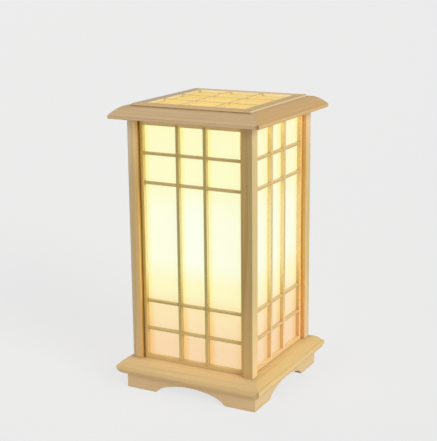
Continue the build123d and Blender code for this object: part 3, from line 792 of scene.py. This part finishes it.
class ANDON_OT_top_panel(bpy.types.Operator):
    """Finishes the frame and the bars of the lift-out panel in the cap"""

    bl_idname = "andon.top_panel"
    bl_label = "Top panel"

    # Painted light and shade: each board's shares follow how the light falls on its side.
    boards = {  # each board's top and upright faces, as shares
        "front": ((1.03, 0.97, 0.83), (1.35, 1.32, 1.20)), "right": ((0.98, 0.97, 0.80), (1.24, 1.26, 1.38)),
        "back": ((1.13, 1.28, 1.44), (1.04, 1.17, 1.43)), "left": ((0.83, 0.93, 1.16), (0.82, 0.90, 0.92)),
    }
    # Painted light and shade: the bars' top and cheek shares follow the lamps and the paper's glow.
    bars = {  # each pair's axis, tops and cheeks, as shares
        "lid_long_bars": ("Y", (1.02, 0.95, 0.84), (0.94, 0.98, 1.07)),
        "lid_cross_bars": ("X", (1.08, 1.06, 0.97), (1.07, 1.14, 1.15)),
    }

    def execute(self, context):
        wood = context.scene.andon_wood
        for number, side in enumerate(SIDES, start=61):
            # shade=1.7 deepens the painted shade in the groove round the frame.
            dress_wood(f"lid_frame_{side}", self.board_tone(wood, side), number, LENGTHWAYS[side], shade=1.7)
        for number, (name, (axis, top, cheek)) in enumerate(self.bars.items(), start=65):
            tone = top_and_edges(times(wood.lid_bars, top), times(wood.lid_cheeks, cheek))
            dress_wood(name, tone, number, axis, shade=0)
        return {"FINISHED"}

    def board_tone(self, wood, side):
        """The board's own shares of the frame's tones, with a painted shadow along the front board's seat."""
        painted_seat_shadow = (0.42, 0.32, 0.22)
        top, edge = self.boards[side]
        plain = top_and_edges(times(wood.lid, top), times(wood.lid_edge, edge))
        seat = limits("cap_rail_front", "Z")[1]
        strength = 0.7 if side == "front" else 0.0

        def made(g, place):
            low = g.between(g.parts(place)["Z"], seat + 0.4 * MM, seat + 1.6 * MM, strength, 0.0)
            return g.tint(plain(g, place), painted_seat_shadow, low)

        return made


def bead_grain(side, number):
    """Grain along Z in the strips nearer a post than the cap or base, lengthways in the others."""
    half = reach(f"{side}_beads", LENGTHWAYS[side])
    low, high = limits(f"{side}_beads", "Z")

    def made(g, place):
        z = g.parts(place)["Z"]
        from_end = g.maths("MINIMUM", g.maths("SUBTRACT", z, low), g.maths("SUBTRACT", high, z))
        upright = g.maths("LESS_THAN", g.maths("SUBTRACT", half, along_side(g, place, side)), from_end)
        level = along_grain(g, place, LENGTHWAYS[side], number)
        return g.mix_vector(upright, level, along_grain(g, place, "Z", number))

    return made


class ANDON_OT_inner_wood(bpy.types.Operator):
    """Finishes the beads behind the papers, the corner blocks and the base board"""

    bl_idname = "andon.inner_wood"
    bl_label = "Inner wood"

    def execute(self, context):
        wood = context.scene.andon_wood
        for number, side in enumerate(SIDES, start=71):
            grain = bead_grain(side, number)
            dress_wood(f"{side}_beads", wood.inner, number, grain, "Softwood", arrises=False)
        dress_wood("lid_beads", wood.inner, 75, self.ring_grain, "Softwood", arrises=False)
        dress_wood("corner_blocks", wood.inner, 78, "Z", "Softwood")
        dress_wood("base_board", wood.board, 79, "X", "Veneer")
        return {"FINISHED"}

    def ring_grain(self, g, place):
        """Grain along Y in the strips further out in X, along X in the others."""
        x, y, _ = g.parts(place)
        beyond = g.maths("GREATER_THAN", g.maths("ABSOLUTE", x), g.maths("ABSOLUTE", y))
        return g.mix_vector(beyond, along_grain(g, place, "X", 76), along_grain(g, place, "Y", 77))


# ---------------------------------------------------------------- paper
def paper_material(name, glow_colour):
    """Paper lit from behind, with the glow painted into its emission. It lights the wood round it more than it
    shows, as a glaring lamp does.
    """
    glow = bpy.context.scene.andon_glow
    material, g, output = new_material(name)
    place = g.place()
    sheet = g.effect(paper_effect(), {"Vector": place})
    light = g.tint(glow_colour(g, place), (0.96, 0.94, 0.90), g.times(sheet["Clouds"], 0.25))
    light = g.tint(light, (0.95, 0.92, 0.86), g.times(sheet["Fibres"], 0.3))
    shown = g.add("ShaderNodeLightPath").outputs["Is Camera Ray"]
    height = g.maths("ADD", sheet["Fibres"], g.times(sheet["Clouds"], 0.4))
    principled(g, output, {
        "Base Color": glow.paper, "Roughness": 0.85, "Specular IOR Level": 0.2,
        "Emission Color": g.mix(shown, g.tint(light, glow.spill), light), "Emission Strength": 1.0,
        "Normal": g.bump(height, 0.3, 0.08),
    })
    return material


def side_glow(side):
    """The height, from foot to head, through the colours of the painted glow, less beside uprights and stiles
    where their shadow is painted.
    """
    glow = bpy.context.scene.andon_glow
    low, high = limits("front_paper", "Z")
    bulb = bulb_height()
    outer, width = reach("front_uprights", "X"), 5 * MM
    stile = stile_edge()
    way_along = 1 if side in ("front", "left") else -1
    on_right = side == "right"
    usual_fade = glow.beside_reach * (1.5 if on_right else 1.0)

    def made(g, place):
        parts = g.parts(place)
        z, along = parts["Z"], g.times(parts[LENGTHWAYS[side]], way_along)
        height = g.maths("DIVIDE", g.maths("SUBTRACT", z, low), high - low, clamp=True)
        belly = (bulb - low) / (high - low)
        light = g.ramp(height, (
            (0.05, glow.foot), (0.21, glow.low), (0.32, glow.waist), (belly - 0.09, glow.belly),
            (belly + 0.06, glow.belly), (0.76, glow.shoulder), (0.95, glow.head),
        ))
        light = g.tint(light, glow.right if on_right else glow.front)
        if not on_right:
            middle = g.between(g.maths("ABSOLUTE", along), outer - 15 * MM, outer + 5 * MM, 1.0, 0.0)
            from_bulb = g.maths("ABSOLUTE", g.maths("SUBTRACT", z, bulb + 10 * MM))
            light = g.tint(light, glow.hot, g.times(middle, g.between(from_bulb, 0.045, 0.085, 1.0, 0.0)))
        low_rows = g.between(height, 0.14, 0.3, 1.0, 0.0)
        fade = g.times(g.maths("ADD", g.times(low_rows, 0.5), 1.0), usual_fade)
        beside = 0.0
        for edge, way, part in ((-stile, 1, 1), (width - outer, 1, 1), (outer, 1, 1), (stile, -1, 0.6)):
            off = g.times(g.maths("SUBTRACT", along, edge), way)
            near = g.times(g.maths("GREATER_THAN", off, 0.0), g.between(off, 0.0, fade, part, 0.0))
            beside = g.maths("MAXIMUM", beside, near)
        return g.tint(light, g.mix(low_rows, glow.beside, glow.beside_foot), beside)

    return made


def top_glow(g, place):
    """The distance from the middle of the panel, through the colours of the painted glow."""
    glow = bpy.context.scene.andon_glow
    half = reach("lid_paper", "X")
    aside = g.vector("LENGTH", g.vector("MULTIPLY", place, (1 / half, 1 / half, 0.0)))
    return g.ramp(aside, ((0.1, glow.top_middle), (1.0, glow.top_edge)))


class ANDON_OT_papers(bpy.types.Operator):
    """Finishes the papers with painted glow: near white beside the bulb, peach at the foot, yellow over the
    bulb
    """

    bl_idname = "andon.papers"
    bl_label = "Papers"

    def execute(self, context):
        for side in SIDES:
            dress(f"{side}_paper", paper_material(f"Paper {side}", side_glow(side)))
        dress("lid_paper", paper_material("Paper top", top_glow))
        return {"FINISHED"}


# ---------------------------------------------------------------- turned pieces
SHARP_EDGE = radians(38)
SAME_POINT = 1e-7


def skin(name, rings, body, material, closed=False):
    """A mesh from rings of points, each joined to the next by quads, that rides on a body.

    If closed, the last ring is joined to the first; otherwise a point in the middle of the first and of the
    last closes the ends. The faces are turned outwards by the sign of the volume.
    """
    levels, columns, _ = rings.shape
    points = rings.reshape(-1, 3)
    ring = np.arange(levels if closed else levels - 1)[:, None]
    column = np.arange(columns)[None, :]
    beside = (column + 1) % columns
    above = (ring + 1) % levels
    quads = np.stack([
        ring * columns + column, ring * columns + beside, above * columns + beside, above * columns + column,
    ], axis=-1).reshape(-1, 4)
    fans = np.empty((0, 3), int)
    if not closed:
        points = np.vstack([points, rings[0].mean(0), rings[-1].mean(0)])
        first, last = len(points) - 2, len(points) - 1
        rim = np.arange(columns)
        turn = (rim + 1) % columns
        top = (levels - 1) * columns
        fans = np.vstack([
            np.stack([turn, rim, np.full(columns, first)], axis=-1),
            np.stack([top + rim, top + turn, np.full(columns, last)], axis=-1),
        ])
    triangles = np.vstack([quads[:, [0, 1, 2]], quads[:, [0, 2, 3]], fans])
    a, b, c = (points[triangles[:, k]] for k in range(3))
    if np.einsum("ij,ij->i", a, np.cross(b, c)).sum() < 0:
        quads, fans = quads[:, ::-1], fans[:, ::-1]
    mesh = bpy.data.meshes.new(name)
    mesh.from_pydata(points, [], quads.tolist() + fans.tolist())
    mesh.shade_smooth()
    mesh.set_sharp_from_angle(angle=SHARP_EDGE)
    mesh.materials.append(material)
    piece = bpy.data.objects.new(name, mesh)
    bpy.context.scene.collection.objects.link(piece)
    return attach(piece, body)


def angles(columns):
    """The angles of the columns of a turned piece."""
    return np.arange(columns) * 2 * pi / columns


def turned_rings(profile, columns):
    """Rings of a turned piece. A row of the profile is (radius, height), numbers or one for each column."""
    radius, height = (np.stack([np.broadcast_to(row[k], columns) for row in profile]) for k in (0, 1))
    turn = angles(columns)
    return np.stack([radius * np.cos(turn), radius * np.sin(turn), height], axis=-1)


def arc(centre, radius, start, end, steps):
    """Points on an arc, as rows of radius and height; angles in degrees, 0 outwards and 90 up."""
    turn = np.radians(np.linspace(start, end, steps))
    return np.stack([centre[0] + radius * np.cos(turn), centre[1] + radius * np.sin(turn)], axis=-1)


def rows(*stretches):
    """Stretches of a profile joined to one list of (radius, height), without repeated points."""
    points = np.vstack([np.atleast_2d(s) for s in stretches]).astype(float)
    keep = np.r_[True, np.linalg.norm(np.diff(points, axis=0), axis=1) > SAME_POINT]
    return points[keep]


def rolled_thread(height, columns, pitch, low, high):
    """The wave of a rolled thread, from 0 at the root to 1 at the crest, as rows of height by columns.

    It is half of one minus the cosine of the helix's phase. At both ends it fades to the crest over half a
    pitch.
    """
    turn = np.arange(columns) / columns
    phase = height[:, None] / pitch - turn[None, :]
    wave = (1 - np.cos(2 * pi * phase)) / 2
    fade = np.clip(np.minimum(height - low, high - height) / (pitch / 2), 0, 1)[:, None]
    return 1 - (1 - wave) * fade


def metal_material(name, tone, rough):
    """Bare or plated metal, a little uneven in tone and polish, with painted shade in its corners."""
    material, g, output = new_material(name)
    uneven = g.noise(g.vector("MULTIPLY", g.place(), (1.0, 1.0, 6.0)), 260.0, 3.0, 0.6)
    body = g.mix(g.times(uneven, 0.15), tone, tuple(0.6 * c for c in tone))
    # Painted shade where surfaces meet.
    joint = g.effect(joint_effect(), {"Reach": 1.5 * MM})["Shade"]
    body = g.tint(body, (0.35, 0.30, 0.25), g.times(joint, 0.5))
    polish = g.between(uneven, 0.3, 0.7, rough * 0.8, rough * 1.3)
    principled(g, output, {"Base Color": body, "Metallic": 1.0, "Roughness": polish})
    return material


def moulded_material(name, tone, rough, grainy):
    """Moulded plastic or rubber with a fine grain, paler where its edges are rubbed."""
    material, g, output = new_material(name)
    speckle = g.noise(g.place(), 1800.0)
    arris = g.effect(arris_effect(), {"Radius": 0.3 * MM})
    body = g.mix(g.times(arris["Arris"], 0.25), tone, tuple(c + 0.05 for c in tone))
    body = g.tint(body, (0.7, 0.7, 0.7), g.times(speckle, 0.3))
    principled(g, output, {
        "Base Color": body, "Roughness": g.between(speckle, 0.3, 0.7, rough, rough * 1.25),
        "Normal": g.bump(speckle, grainy, 0.03, Normal=arris["Normal"]),
    })
    return material


FINISHES = {
    "Zinc-plated steel": (metal_material, (0.60, 0.61, 0.62), 0.32),
    "Brass": (metal_material, (0.80, 0.60, 0.26), 0.28),
    "Rolled aluminium": (metal_material, (0.76, 0.75, 0.72), 0.3),
    "Black moulded plastic": (moulded_material, (0.02, 0.02, 0.021), 0.32, 0.1),
    "Black rubber": (moulded_material, (0.022, 0.022, 0.022), 0.6, 0.3),
}


def finish(name):
    """The material of that name, made when first asked for."""
    make, *values = FINISHES[name]
    return bpy.data.materials.get(name) or make(name, *values)


class ANDON_OT_pipe(bpy.types.Operator):
    """Makes the threaded pipe and its chamfered nuts, and finishes the washers"""

    bl_idname = "andon.pipe"
    bl_label = "Pipe, nuts and washers"

    def execute(self, context):
        zinc = finish("Zinc-plated steel")
        self.pipe(context.scene.andon_hardware.pipe_pitch, zinc)
        self.nuts(zinc)
        dress("pipe_washers", zinc)
        return {"FINISHED"}

    def pipe(self, pitch, zinc):
        """A tube, thinner than its crest by the thread's depth times one minus its wave."""
        low, high = limits("pipe", "Z")
        outside, bore, depth = reach("pipe", "X"), 3.7 * MM, 0.6 * pitch
        columns, plain_end = 36, 0.5 * MM
        height = np.arange(low, high, pitch / 6)
        wave = rolled_thread(height, columns, pitch, low + plain_end, high - plain_end)
        profile = [(bore, low), *zip(outside - depth * (1 - wave), height), (bore, height[-1])]
        pipe = skin("threaded_pipe", turned_rings(profile, columns), LANTERN, zinc, closed=True)
        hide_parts("pipe")

    def nuts(self, zinc):
        """Hexagons: half the width over the cosine of the turn off a flat, inside a cone at each end."""
        flats = (limits("pipe_nuts", "Y")[1] - limits("pipe_nuts", "Y")[0]) / 2
        nut_low, nut_high = limits("pipe_nuts", "Z")
        thick, hole = 3 * MM, reach("pipe", "X") + 0.05 * MM
        columns, half_side = 96, pi / 6
        to_flat = (angles(columns) - pi / 2 + half_side) % (2 * half_side) - half_side
        hexagon = flats / np.cos(to_flat)
        levels = np.array([0, 0.05, 0.16, 0.3, 0.7, 0.84, 0.95, 1]) * thick
        face, steepness = flats * 0.98, 1.8
        cone = face + steepness * np.minimum(levels, thick - levels)
        walls = np.minimum(hexagon[None, :], cone[:, None])
        for name, foot in (("pipe_nut_lower", nut_low), ("pipe_nut_upper", nut_high - thick)):
            profile = [(hole, foot), *zip(walls, foot + levels), (hole, foot + thick)]
            nut = skin(name, turned_rings(profile, columns), LANTERN, zinc, closed=True)
        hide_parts("pipe_nuts")


class ANDON_OT_screws(bpy.types.Operator):
    """Makes the countersunk board screws with their cross recess and thread"""

    bl_idname = "andon.screws"
    bl_label = "Board screws"

    def execute(self, context):
        low, high = limits("board_screws", "Z")
        rings = self.screw(context.scene.andon_hardware.screw_pitch, high - low)
        play, half = 0.3 * MM, 45 * MM
        row = (reach("base_board", "X") + play + inner_edge("base_rail_right")) / 2
        places = [(row, half), (row, -half), (-row, half), (-row, -half),
                  (half, row), (-half, row), (half, -row), (-half, -row)]
        for number, place in enumerate(places, start=1):
            at = np.array([*place, low])
            screw = skin(f"board_screw_{number}", rings + at, LANTERN, finish("Zinc-plated steel"))
        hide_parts("board_screws")
        return {"FINISHED"}

    def screw(self, pitch, length_over):
        """Rings of a screw that stands on its head.

        The head sinks by the recess's depth inside the arms of a cross. The radius of the thread is the core's
        plus the ridge times the cube of the wave.
        """
        head, shank, core, tip = 3.5 * MM, 1.75 * MM, 1.2 * MM, 0.15 * MM
        columns = 48
        across = np.linspace(0.06, 1, 15)[:, None] * head
        x, y = across * np.cos(angles(columns)), across * np.sin(angles(columns))
        arm_half, arm_reach, depth, side_run, end_run = 0.5 * MM, 2.0 * MM, 1.5 * MM, 0.25 * MM, 0.5 * MM
        in_arm = np.clip((arm_half - np.minimum(np.abs(x), np.abs(y))) / side_run, 0, 1)
        recess = depth * in_arm * np.clip((arm_reach - across) / end_run, 0, 1)
        tip_start = length_over - 2 * shank
        plain_end = head - shank + 3 * MM
        threaded = np.arange(plain_end, tip_start, pitch / 8)
        wave = rolled_thread(threaded, columns, pitch, plain_end, tip_start + pitch)
        profile = [*zip(across, recess), (shank, head - shank), (shank, plain_end),
                   *zip(core + (shank - core) * wave ** 3, threaded), (tip, length_over)]
        return turned_rings(profile, columns)


class ANDON_OT_holder(bpy.types.Operator):
    """Makes the lampholder's ribbed skirt and its threaded shell, and finishes its cover, core and contact"""

    bl_idname = "andon.holder"
    bl_label = "Lampholder"

    def execute(self, context):
        self.skirt(context.scene.andon_hardware)
        self.shell(context.scene.andon_hardware)
        dress("holder_cover", finish("Black moulded plastic"))
        dress("holder_core", self.porcelain())
        dress("centre_contact", finish("Brass"))
        return {"FINISHED"}

    def skirt(self, hardware):
        """A bell with a rounded rim, whose grooves follow the cosine of the turn times its ribs."""
        low, high = limits("holder_skirt", "Z")
        outside = reach("holder_skirt", "X")
        wall, mouth, eased, chamfer = 2.2 * MM, 15 * MM, 0.4 * MM, 0.5 * MM
        inside = outside - wall
        columns = hardware.skirt_ribs * 8
        turn = np.arange(columns) / columns * hardware.skirt_ribs * 2 * pi
        groove = hardware.skirt_groove * np.clip(0.5 - 1.4 * np.cos(turn), 0, 1)
        ribs_low, ribs_high, run_out = low + 5 * MM, high - 9 * MM, 1.5 * MM
        level = np.linspace(low + eased, high - wall, 40)
        ends = np.clip(np.minimum(level - ribs_low, ribs_high - level) / run_out, 0, 1)
        outer = outside - ends[:, None] * groove[None, :]
        rim = rows(arc((inside, high - wall), wall, 12, 90, 8), (mouth + chamfer, high),
                   (mouth, high - chamfer), (mouth, high - wall), (inside, high - wall), (inside, low))
        rings = turned_rings([(outside - eased, low), *zip(outer, level), *rim], columns)
        skirt = skin("ribbed_skirt", rings, LANTERN, finish("Black moulded plastic"), closed=True)
        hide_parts("holder_skirt")

    def shell(self, hardware):
        """A threaded cup: the bulb cap's thread, further out by the clearance, with a wall outside it."""
        low, high = limits("screw_shell", "Z")
        foot, thick = 8 * MM, 0.5 * MM
        level = np.arange(low + 1 * MM, high, hardware.cap_pitch / 12)
        wave = rolled_thread(level, hardware.columns, hardware.cap_pitch, low + 3.5 * MM, high - 2.5 * MM)
        inner = reach("bulb_cap", "X") + hardware.thread_clear - hardware.cap_depth * (1 - wave)
        outer = (inner + thick)[::-1]
        profile = [(foot, low + thick), *zip(inner, level), *zip(outer, level[::-1]), (foot, low)]
        rings = turned_rings(profile, hardware.columns)
        shell = skin("threaded_shell", rings, LANTERN, finish("Brass"), closed=True)
        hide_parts("screw_shell")

    def porcelain(self):
        """Glazed porcelain, a little cloudy."""
        material, g, output = new_material("Glazed porcelain")
        cloud = g.noise(g.place(), 90.0)
        glaze = g.mix(cloud, (0.86, 0.84, 0.79), (0.80, 0.78, 0.72))
        principled(g, output, {"Base Color": glaze, "Roughness": g.between(cloud, 0.3, 0.7, 0.12, 0.2)})
        return material


class ANDON_OT_bulb(bpy.types.Operator):
    """Makes the opal bulb, its threaded cap and its insulator, and finishes its contact"""

    bl_idname = "andon.bulb"
    bl_label = "Bulb"

    def execute(self, context):
        hardware = context.scene.andon_hardware
        self.glass(hardware.columns, self.opal(context.scene.andon_glow.bulb))
        self.cap(hardware)
        self.insulator(hardware.columns)
        dress("bulb_contact", finish("Brass"))
        return {"FINISHED"}

    def glass(self, columns, opal):
        """A ball's arc that runs on into a hollow arc, which ends upright at the neck."""
        foot, top = limits("bulb_glass", "Z")
        ball = reach("bulb_glass", "X")
        neck, neck_top, stem = 14.5 * MM, foot + 13.5 * MM, 12 * MM
        centre = top - ball
        drop = centre - neck_top
        hollow = (neck ** 2 + drop ** 2 - ball ** 2) / (2 * (ball - neck))
        meet = -np.degrees(np.arctan2(drop, neck + hollow))
        profile = rows(
            arc((0, centre), ball, 89.2, meet, 56)[:-1],
            arc((neck + hollow, neck_top), hollow, 180 + meet, 180, 18),
            (neck, foot + 3.6 * MM), (stem, foot + 3.5 * MM), (stem, foot),
        )
        glass = skin("opal_glass", turned_rings(profile, columns), BULB, opal)
        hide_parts("bulb_glass")

    def cap(self, hardware):
        """A cup, thinner than its crest by the thread's depth times one minus its wave."""
        low, high = limits("bulb_cap", "Z")
        crest = reach("bulb_cap", "X")
        taper, last = low + 3.5 * MM, high - 0.6 * MM
        level = np.arange(taper, last, hardware.cap_pitch / 12)
        wave = rolled_thread(level, hardware.columns, hardware.cap_pitch, taper - 1 * MM, high - 3.5 * MM)
        outer = crest - hardware.cap_depth * (1 - wave)
        rim = rows((crest, last), (crest - 0.4 * MM, high), (crest - 0.9 * MM, high),
                   (crest - 1.0 * MM, limits("bulb_glass", "Z")[0] + 0.5 * MM))
        rings = turned_rings([(9.2 * MM, low + 1.3 * MM), *zip(outer, level), *rim], hardware.columns)
        cap = skin("threaded_cap", rings, BULB, finish("Rolled aluminium"))
        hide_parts("bulb_cap")

    def insulator(self, columns):
        """A low cone with a hole, which closes the cap's foot round its contact."""
        low, _ = limits("bulb_cap", "Z")
        hole, edge, seat = 4.5 * MM, 9.1 * MM, low + 2.2 * MM
        ring = rows((hole, low), (edge, low + 1.25 * MM), (edge, seat), (hole, seat))
        black = finish("Black moulded plastic")
        insulator = skin("cap_insulator", turned_rings(ring, columns), BULB, black, closed=True)

    def opal(self, tone):
        """Frosted glass, lit from inside."""
        material, g, output = new_material("Opal glass")
        frost = g.noise(g.place(), 40.0, 3.0)
        principled(g, output, {
            "Base Color": g.mix(frost, (0.26, 0.255, 0.24), (0.23, 0.225, 0.21)), "Roughness": 0.3,
            "Coat Weight": 0.5, "Coat Roughness": 0.06,
            "Emission Color": g.mix(frost, tone, tuple(0.97 * c for c in tone)), "Emission Strength": 1.0,
        })
        return material


class ANDON_OT_grommet(bpy.types.Operator):
    """Makes the rubber grommet with its rounded flanges"""

    bl_idname = "andon.grommet"
    bl_label = "Cord grommet"

    def execute(self, context):
        # Half of the profile, with its edges as arcs, and the same mirrored, turned and laid along Y.
        low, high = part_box("cord_grommet")
        flange, half = (high.x - low.x) / 2, (high.y - low.y) / 2
        bore, waist, thick, eased = 3.5 * MM, 5.45 * MM, 1.5 * MM, 0.7 * MM
        upper = rows(
            arc((bore + eased, half - eased), eased, 180, 90, 6),
            arc((flange - eased, half - eased), eased, 90, 0, 6),
            (flange, half - thick), (waist, half - thick),
        )
        profile = rows((bore, 0), upper, upper[::-1] * (1, -1))
        rings = turned_rings(profile, context.scene.andon_hardware.columns)
        lying = rings[..., [0, 2, 1]] + np.array((low + high) / 2)
        grommet = skin("rubber_grommet", lying, LANTERN, finish("Black rubber"), closed=True)
        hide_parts("cord_grommet")
        return {"FINISHED"}


# ---------------------------------------------------------------- stage
def seen_directly(g):
    """1 for what the camera sees, directly, in a reflection or through glass."""
    path = g.add("ShaderNodeLightPath").outputs
    either = g.maths("MAXIMUM", path["Is Camera Ray"], path["Is Glossy Ray"])
    return g.maths("MAXIMUM", either, path["Is Transmission Ray"])


def sun(name, tone, strength, aim, softness):
    """A far, soft lamp that shines along aim."""
    light = bpy.data.lights.new(name, "SUN")
    light.color = tone
    light.energy = strength
    light.angle = radians(softness)
    lamp = bpy.data.objects.new(name, light)
    lamp.rotation_mode = "QUATERNION"
    lamp.rotation_quaternion = Vector(aim).to_track_quat("-Z", "Y")
    bpy.context.scene.collection.objects.link(lamp)


class ANDON_OT_stage(bpy.types.Operator):
    """Sets the pale floor, the even room light, the soft lamps and the camera"""

    bl_idname = "andon.stage"
    bl_label = "Stage"

    def execute(self, context):
        scene = context.scene
        stage = scene.andon_stage
        self.floor(stage)
        self.room(scene, stage)
        sun("Key", stage.key, stage.key_strength, aim=(-0.80, 0.30, -0.36), softness=35)
        sun("Fill", FULL, stage.fill_strength, aim=(0.25, 0.85, -0.20), softness=60)
        self.camera(scene, stage)
        scene.view_settings.view_transform = "Standard"
        return {"FINISHED"}

    def floor(self, stage):
        """A wide sheet with a thin underside, just under the feet."""
        half, thick, top = 40.0, 0.02, -0.0002
        corners = np.array([(-1, -1), (1, -1), (1, 1), (-1, 1)]) * half
        rings = np.stack([np.column_stack([corners, np.full(4, z)]) for z in (top - thick, top)])
        material, g, output = new_material("Pale floor")
        matt = g.add("ShaderNodeBsdfDiffuse", {"Color": (0.80, 0.795, 0.81), "Roughness": 1.0})
        plain = g.add("ShaderNodeEmission", {"Color": [stage.background] * 3, "Strength": 1.0})
        bounce = g.add("ShaderNodeMixShader", {"Fac": g.times(seen_directly(g), 1 - stage.shade_share)})
        g.feed(bounce.inputs[1], matt.outputs[0])
        g.feed(bounce.inputs[2], plain.outputs[0])
        g.feed(output.inputs["Surface"], bounce.outputs[0])
        floor = skin("floor", rings, LANTERN, material)

    def room(self, scene, stage):
        """Even light from all round, and a backdrop of the floor's own level."""
        world = bpy.data.worlds.new("Room")
        scene.world = world
        world.use_nodes = True
        world.node_tree.nodes.clear()
        g = Graph(world.node_tree)
        tone = g.mix(seen_directly(g), stage.room, [stage.background] * 3)
        light = g.add("ShaderNodeBackground", {"Color": tone, "Strength": 1.0})
        g.feed(g.add("ShaderNodeOutputWorld").inputs["Surface"], light.outputs[0])

    def camera(self, scene, stage):
        """Looks at the lamp's middle from its azimuth and elevation, rolled and set off in its own plane."""
        azimuth, elevation = stage.azimuth, stage.elevation
        back = Vector((sin(azimuth) * cos(elevation), -cos(azimuth) * cos(elevation), sin(elevation)))
        right = (-back).cross(Vector((0, 0, 1))).normalized()
        up = right.cross(-back)
        rolled_right = right * cos(stage.roll) + up * sin(stage.roll)
        rolled_up = up * cos(stage.roll) - right * sin(stage.roll)
        middle = Vector((0, 0, (cad_box[0].z + cad_box[1].z) / 2))
        place = middle + back * stage.distance - rolled_right * stage.aside + rolled_up * stage.above
        data = bpy.data.cameras.new("Camera")
        data.sensor_width = 36
        data.lens = stage.lens
        data.clip_end = 200
        camera = bpy.data.objects.new("Camera", data)
        turn = Matrix((rolled_right, rolled_up, back)).transposed().to_4x4()
        camera.matrix_world = Matrix.Translation(place) @ turn
        scene.collection.objects.link(camera)
        scene.camera = camera


# ---------------------------------------------------------------- panel and order of work
OPERATORS = (
    ANDON_OT_base, ANDON_OT_posts, ANDON_OT_cap, ANDON_OT_lattice, ANDON_OT_top_panel, ANDON_OT_inner_wood,
    ANDON_OT_papers, ANDON_OT_pipe, ANDON_OT_screws, ANDON_OT_holder, ANDON_OT_bulb, ANDON_OT_grommet,
    ANDON_OT_stage,
)


class ANDON_PT_lamp(bpy.types.Panel):
    """Lists the pieces of the lamp with their settings"""

    bl_label = "Andon lantern lamp"
    bl_space_type = "VIEW_3D"
    bl_region_type = "UI"
    bl_category = "Andon"

    def draw(self, context):
        for name, group in SETTINGS.items():
            box = self.layout.box()
            for item in group.__annotations__:
                box.prop(getattr(context.scene, name), item)
        for operator in OPERATORS:
            self.layout.operator(operator.bl_idname)


def register():
    for item in (*SETTINGS.values(), *OPERATORS, ANDON_PT_lamp):
        bpy.utils.register_class(item)
    for name, group in SETTINGS.items():
        setattr(bpy.types.Scene, name, PointerProperty(type=group))


def unregister():
    for name in SETTINGS:
        delattr(bpy.types.Scene, name)
    for item in reversed((*SETTINGS.values(), *OPERATORS, ANDON_PT_lamp)):
        bpy.utils.unregister_class(item)


def main():
    """Runs every operator in order."""
    register()
    for operator in OPERATORS:
        group, name = operator.bl_idname.split(".")
        getattr(getattr(bpy.ops, group), name)()


if __name__ == "__main__":
    main()
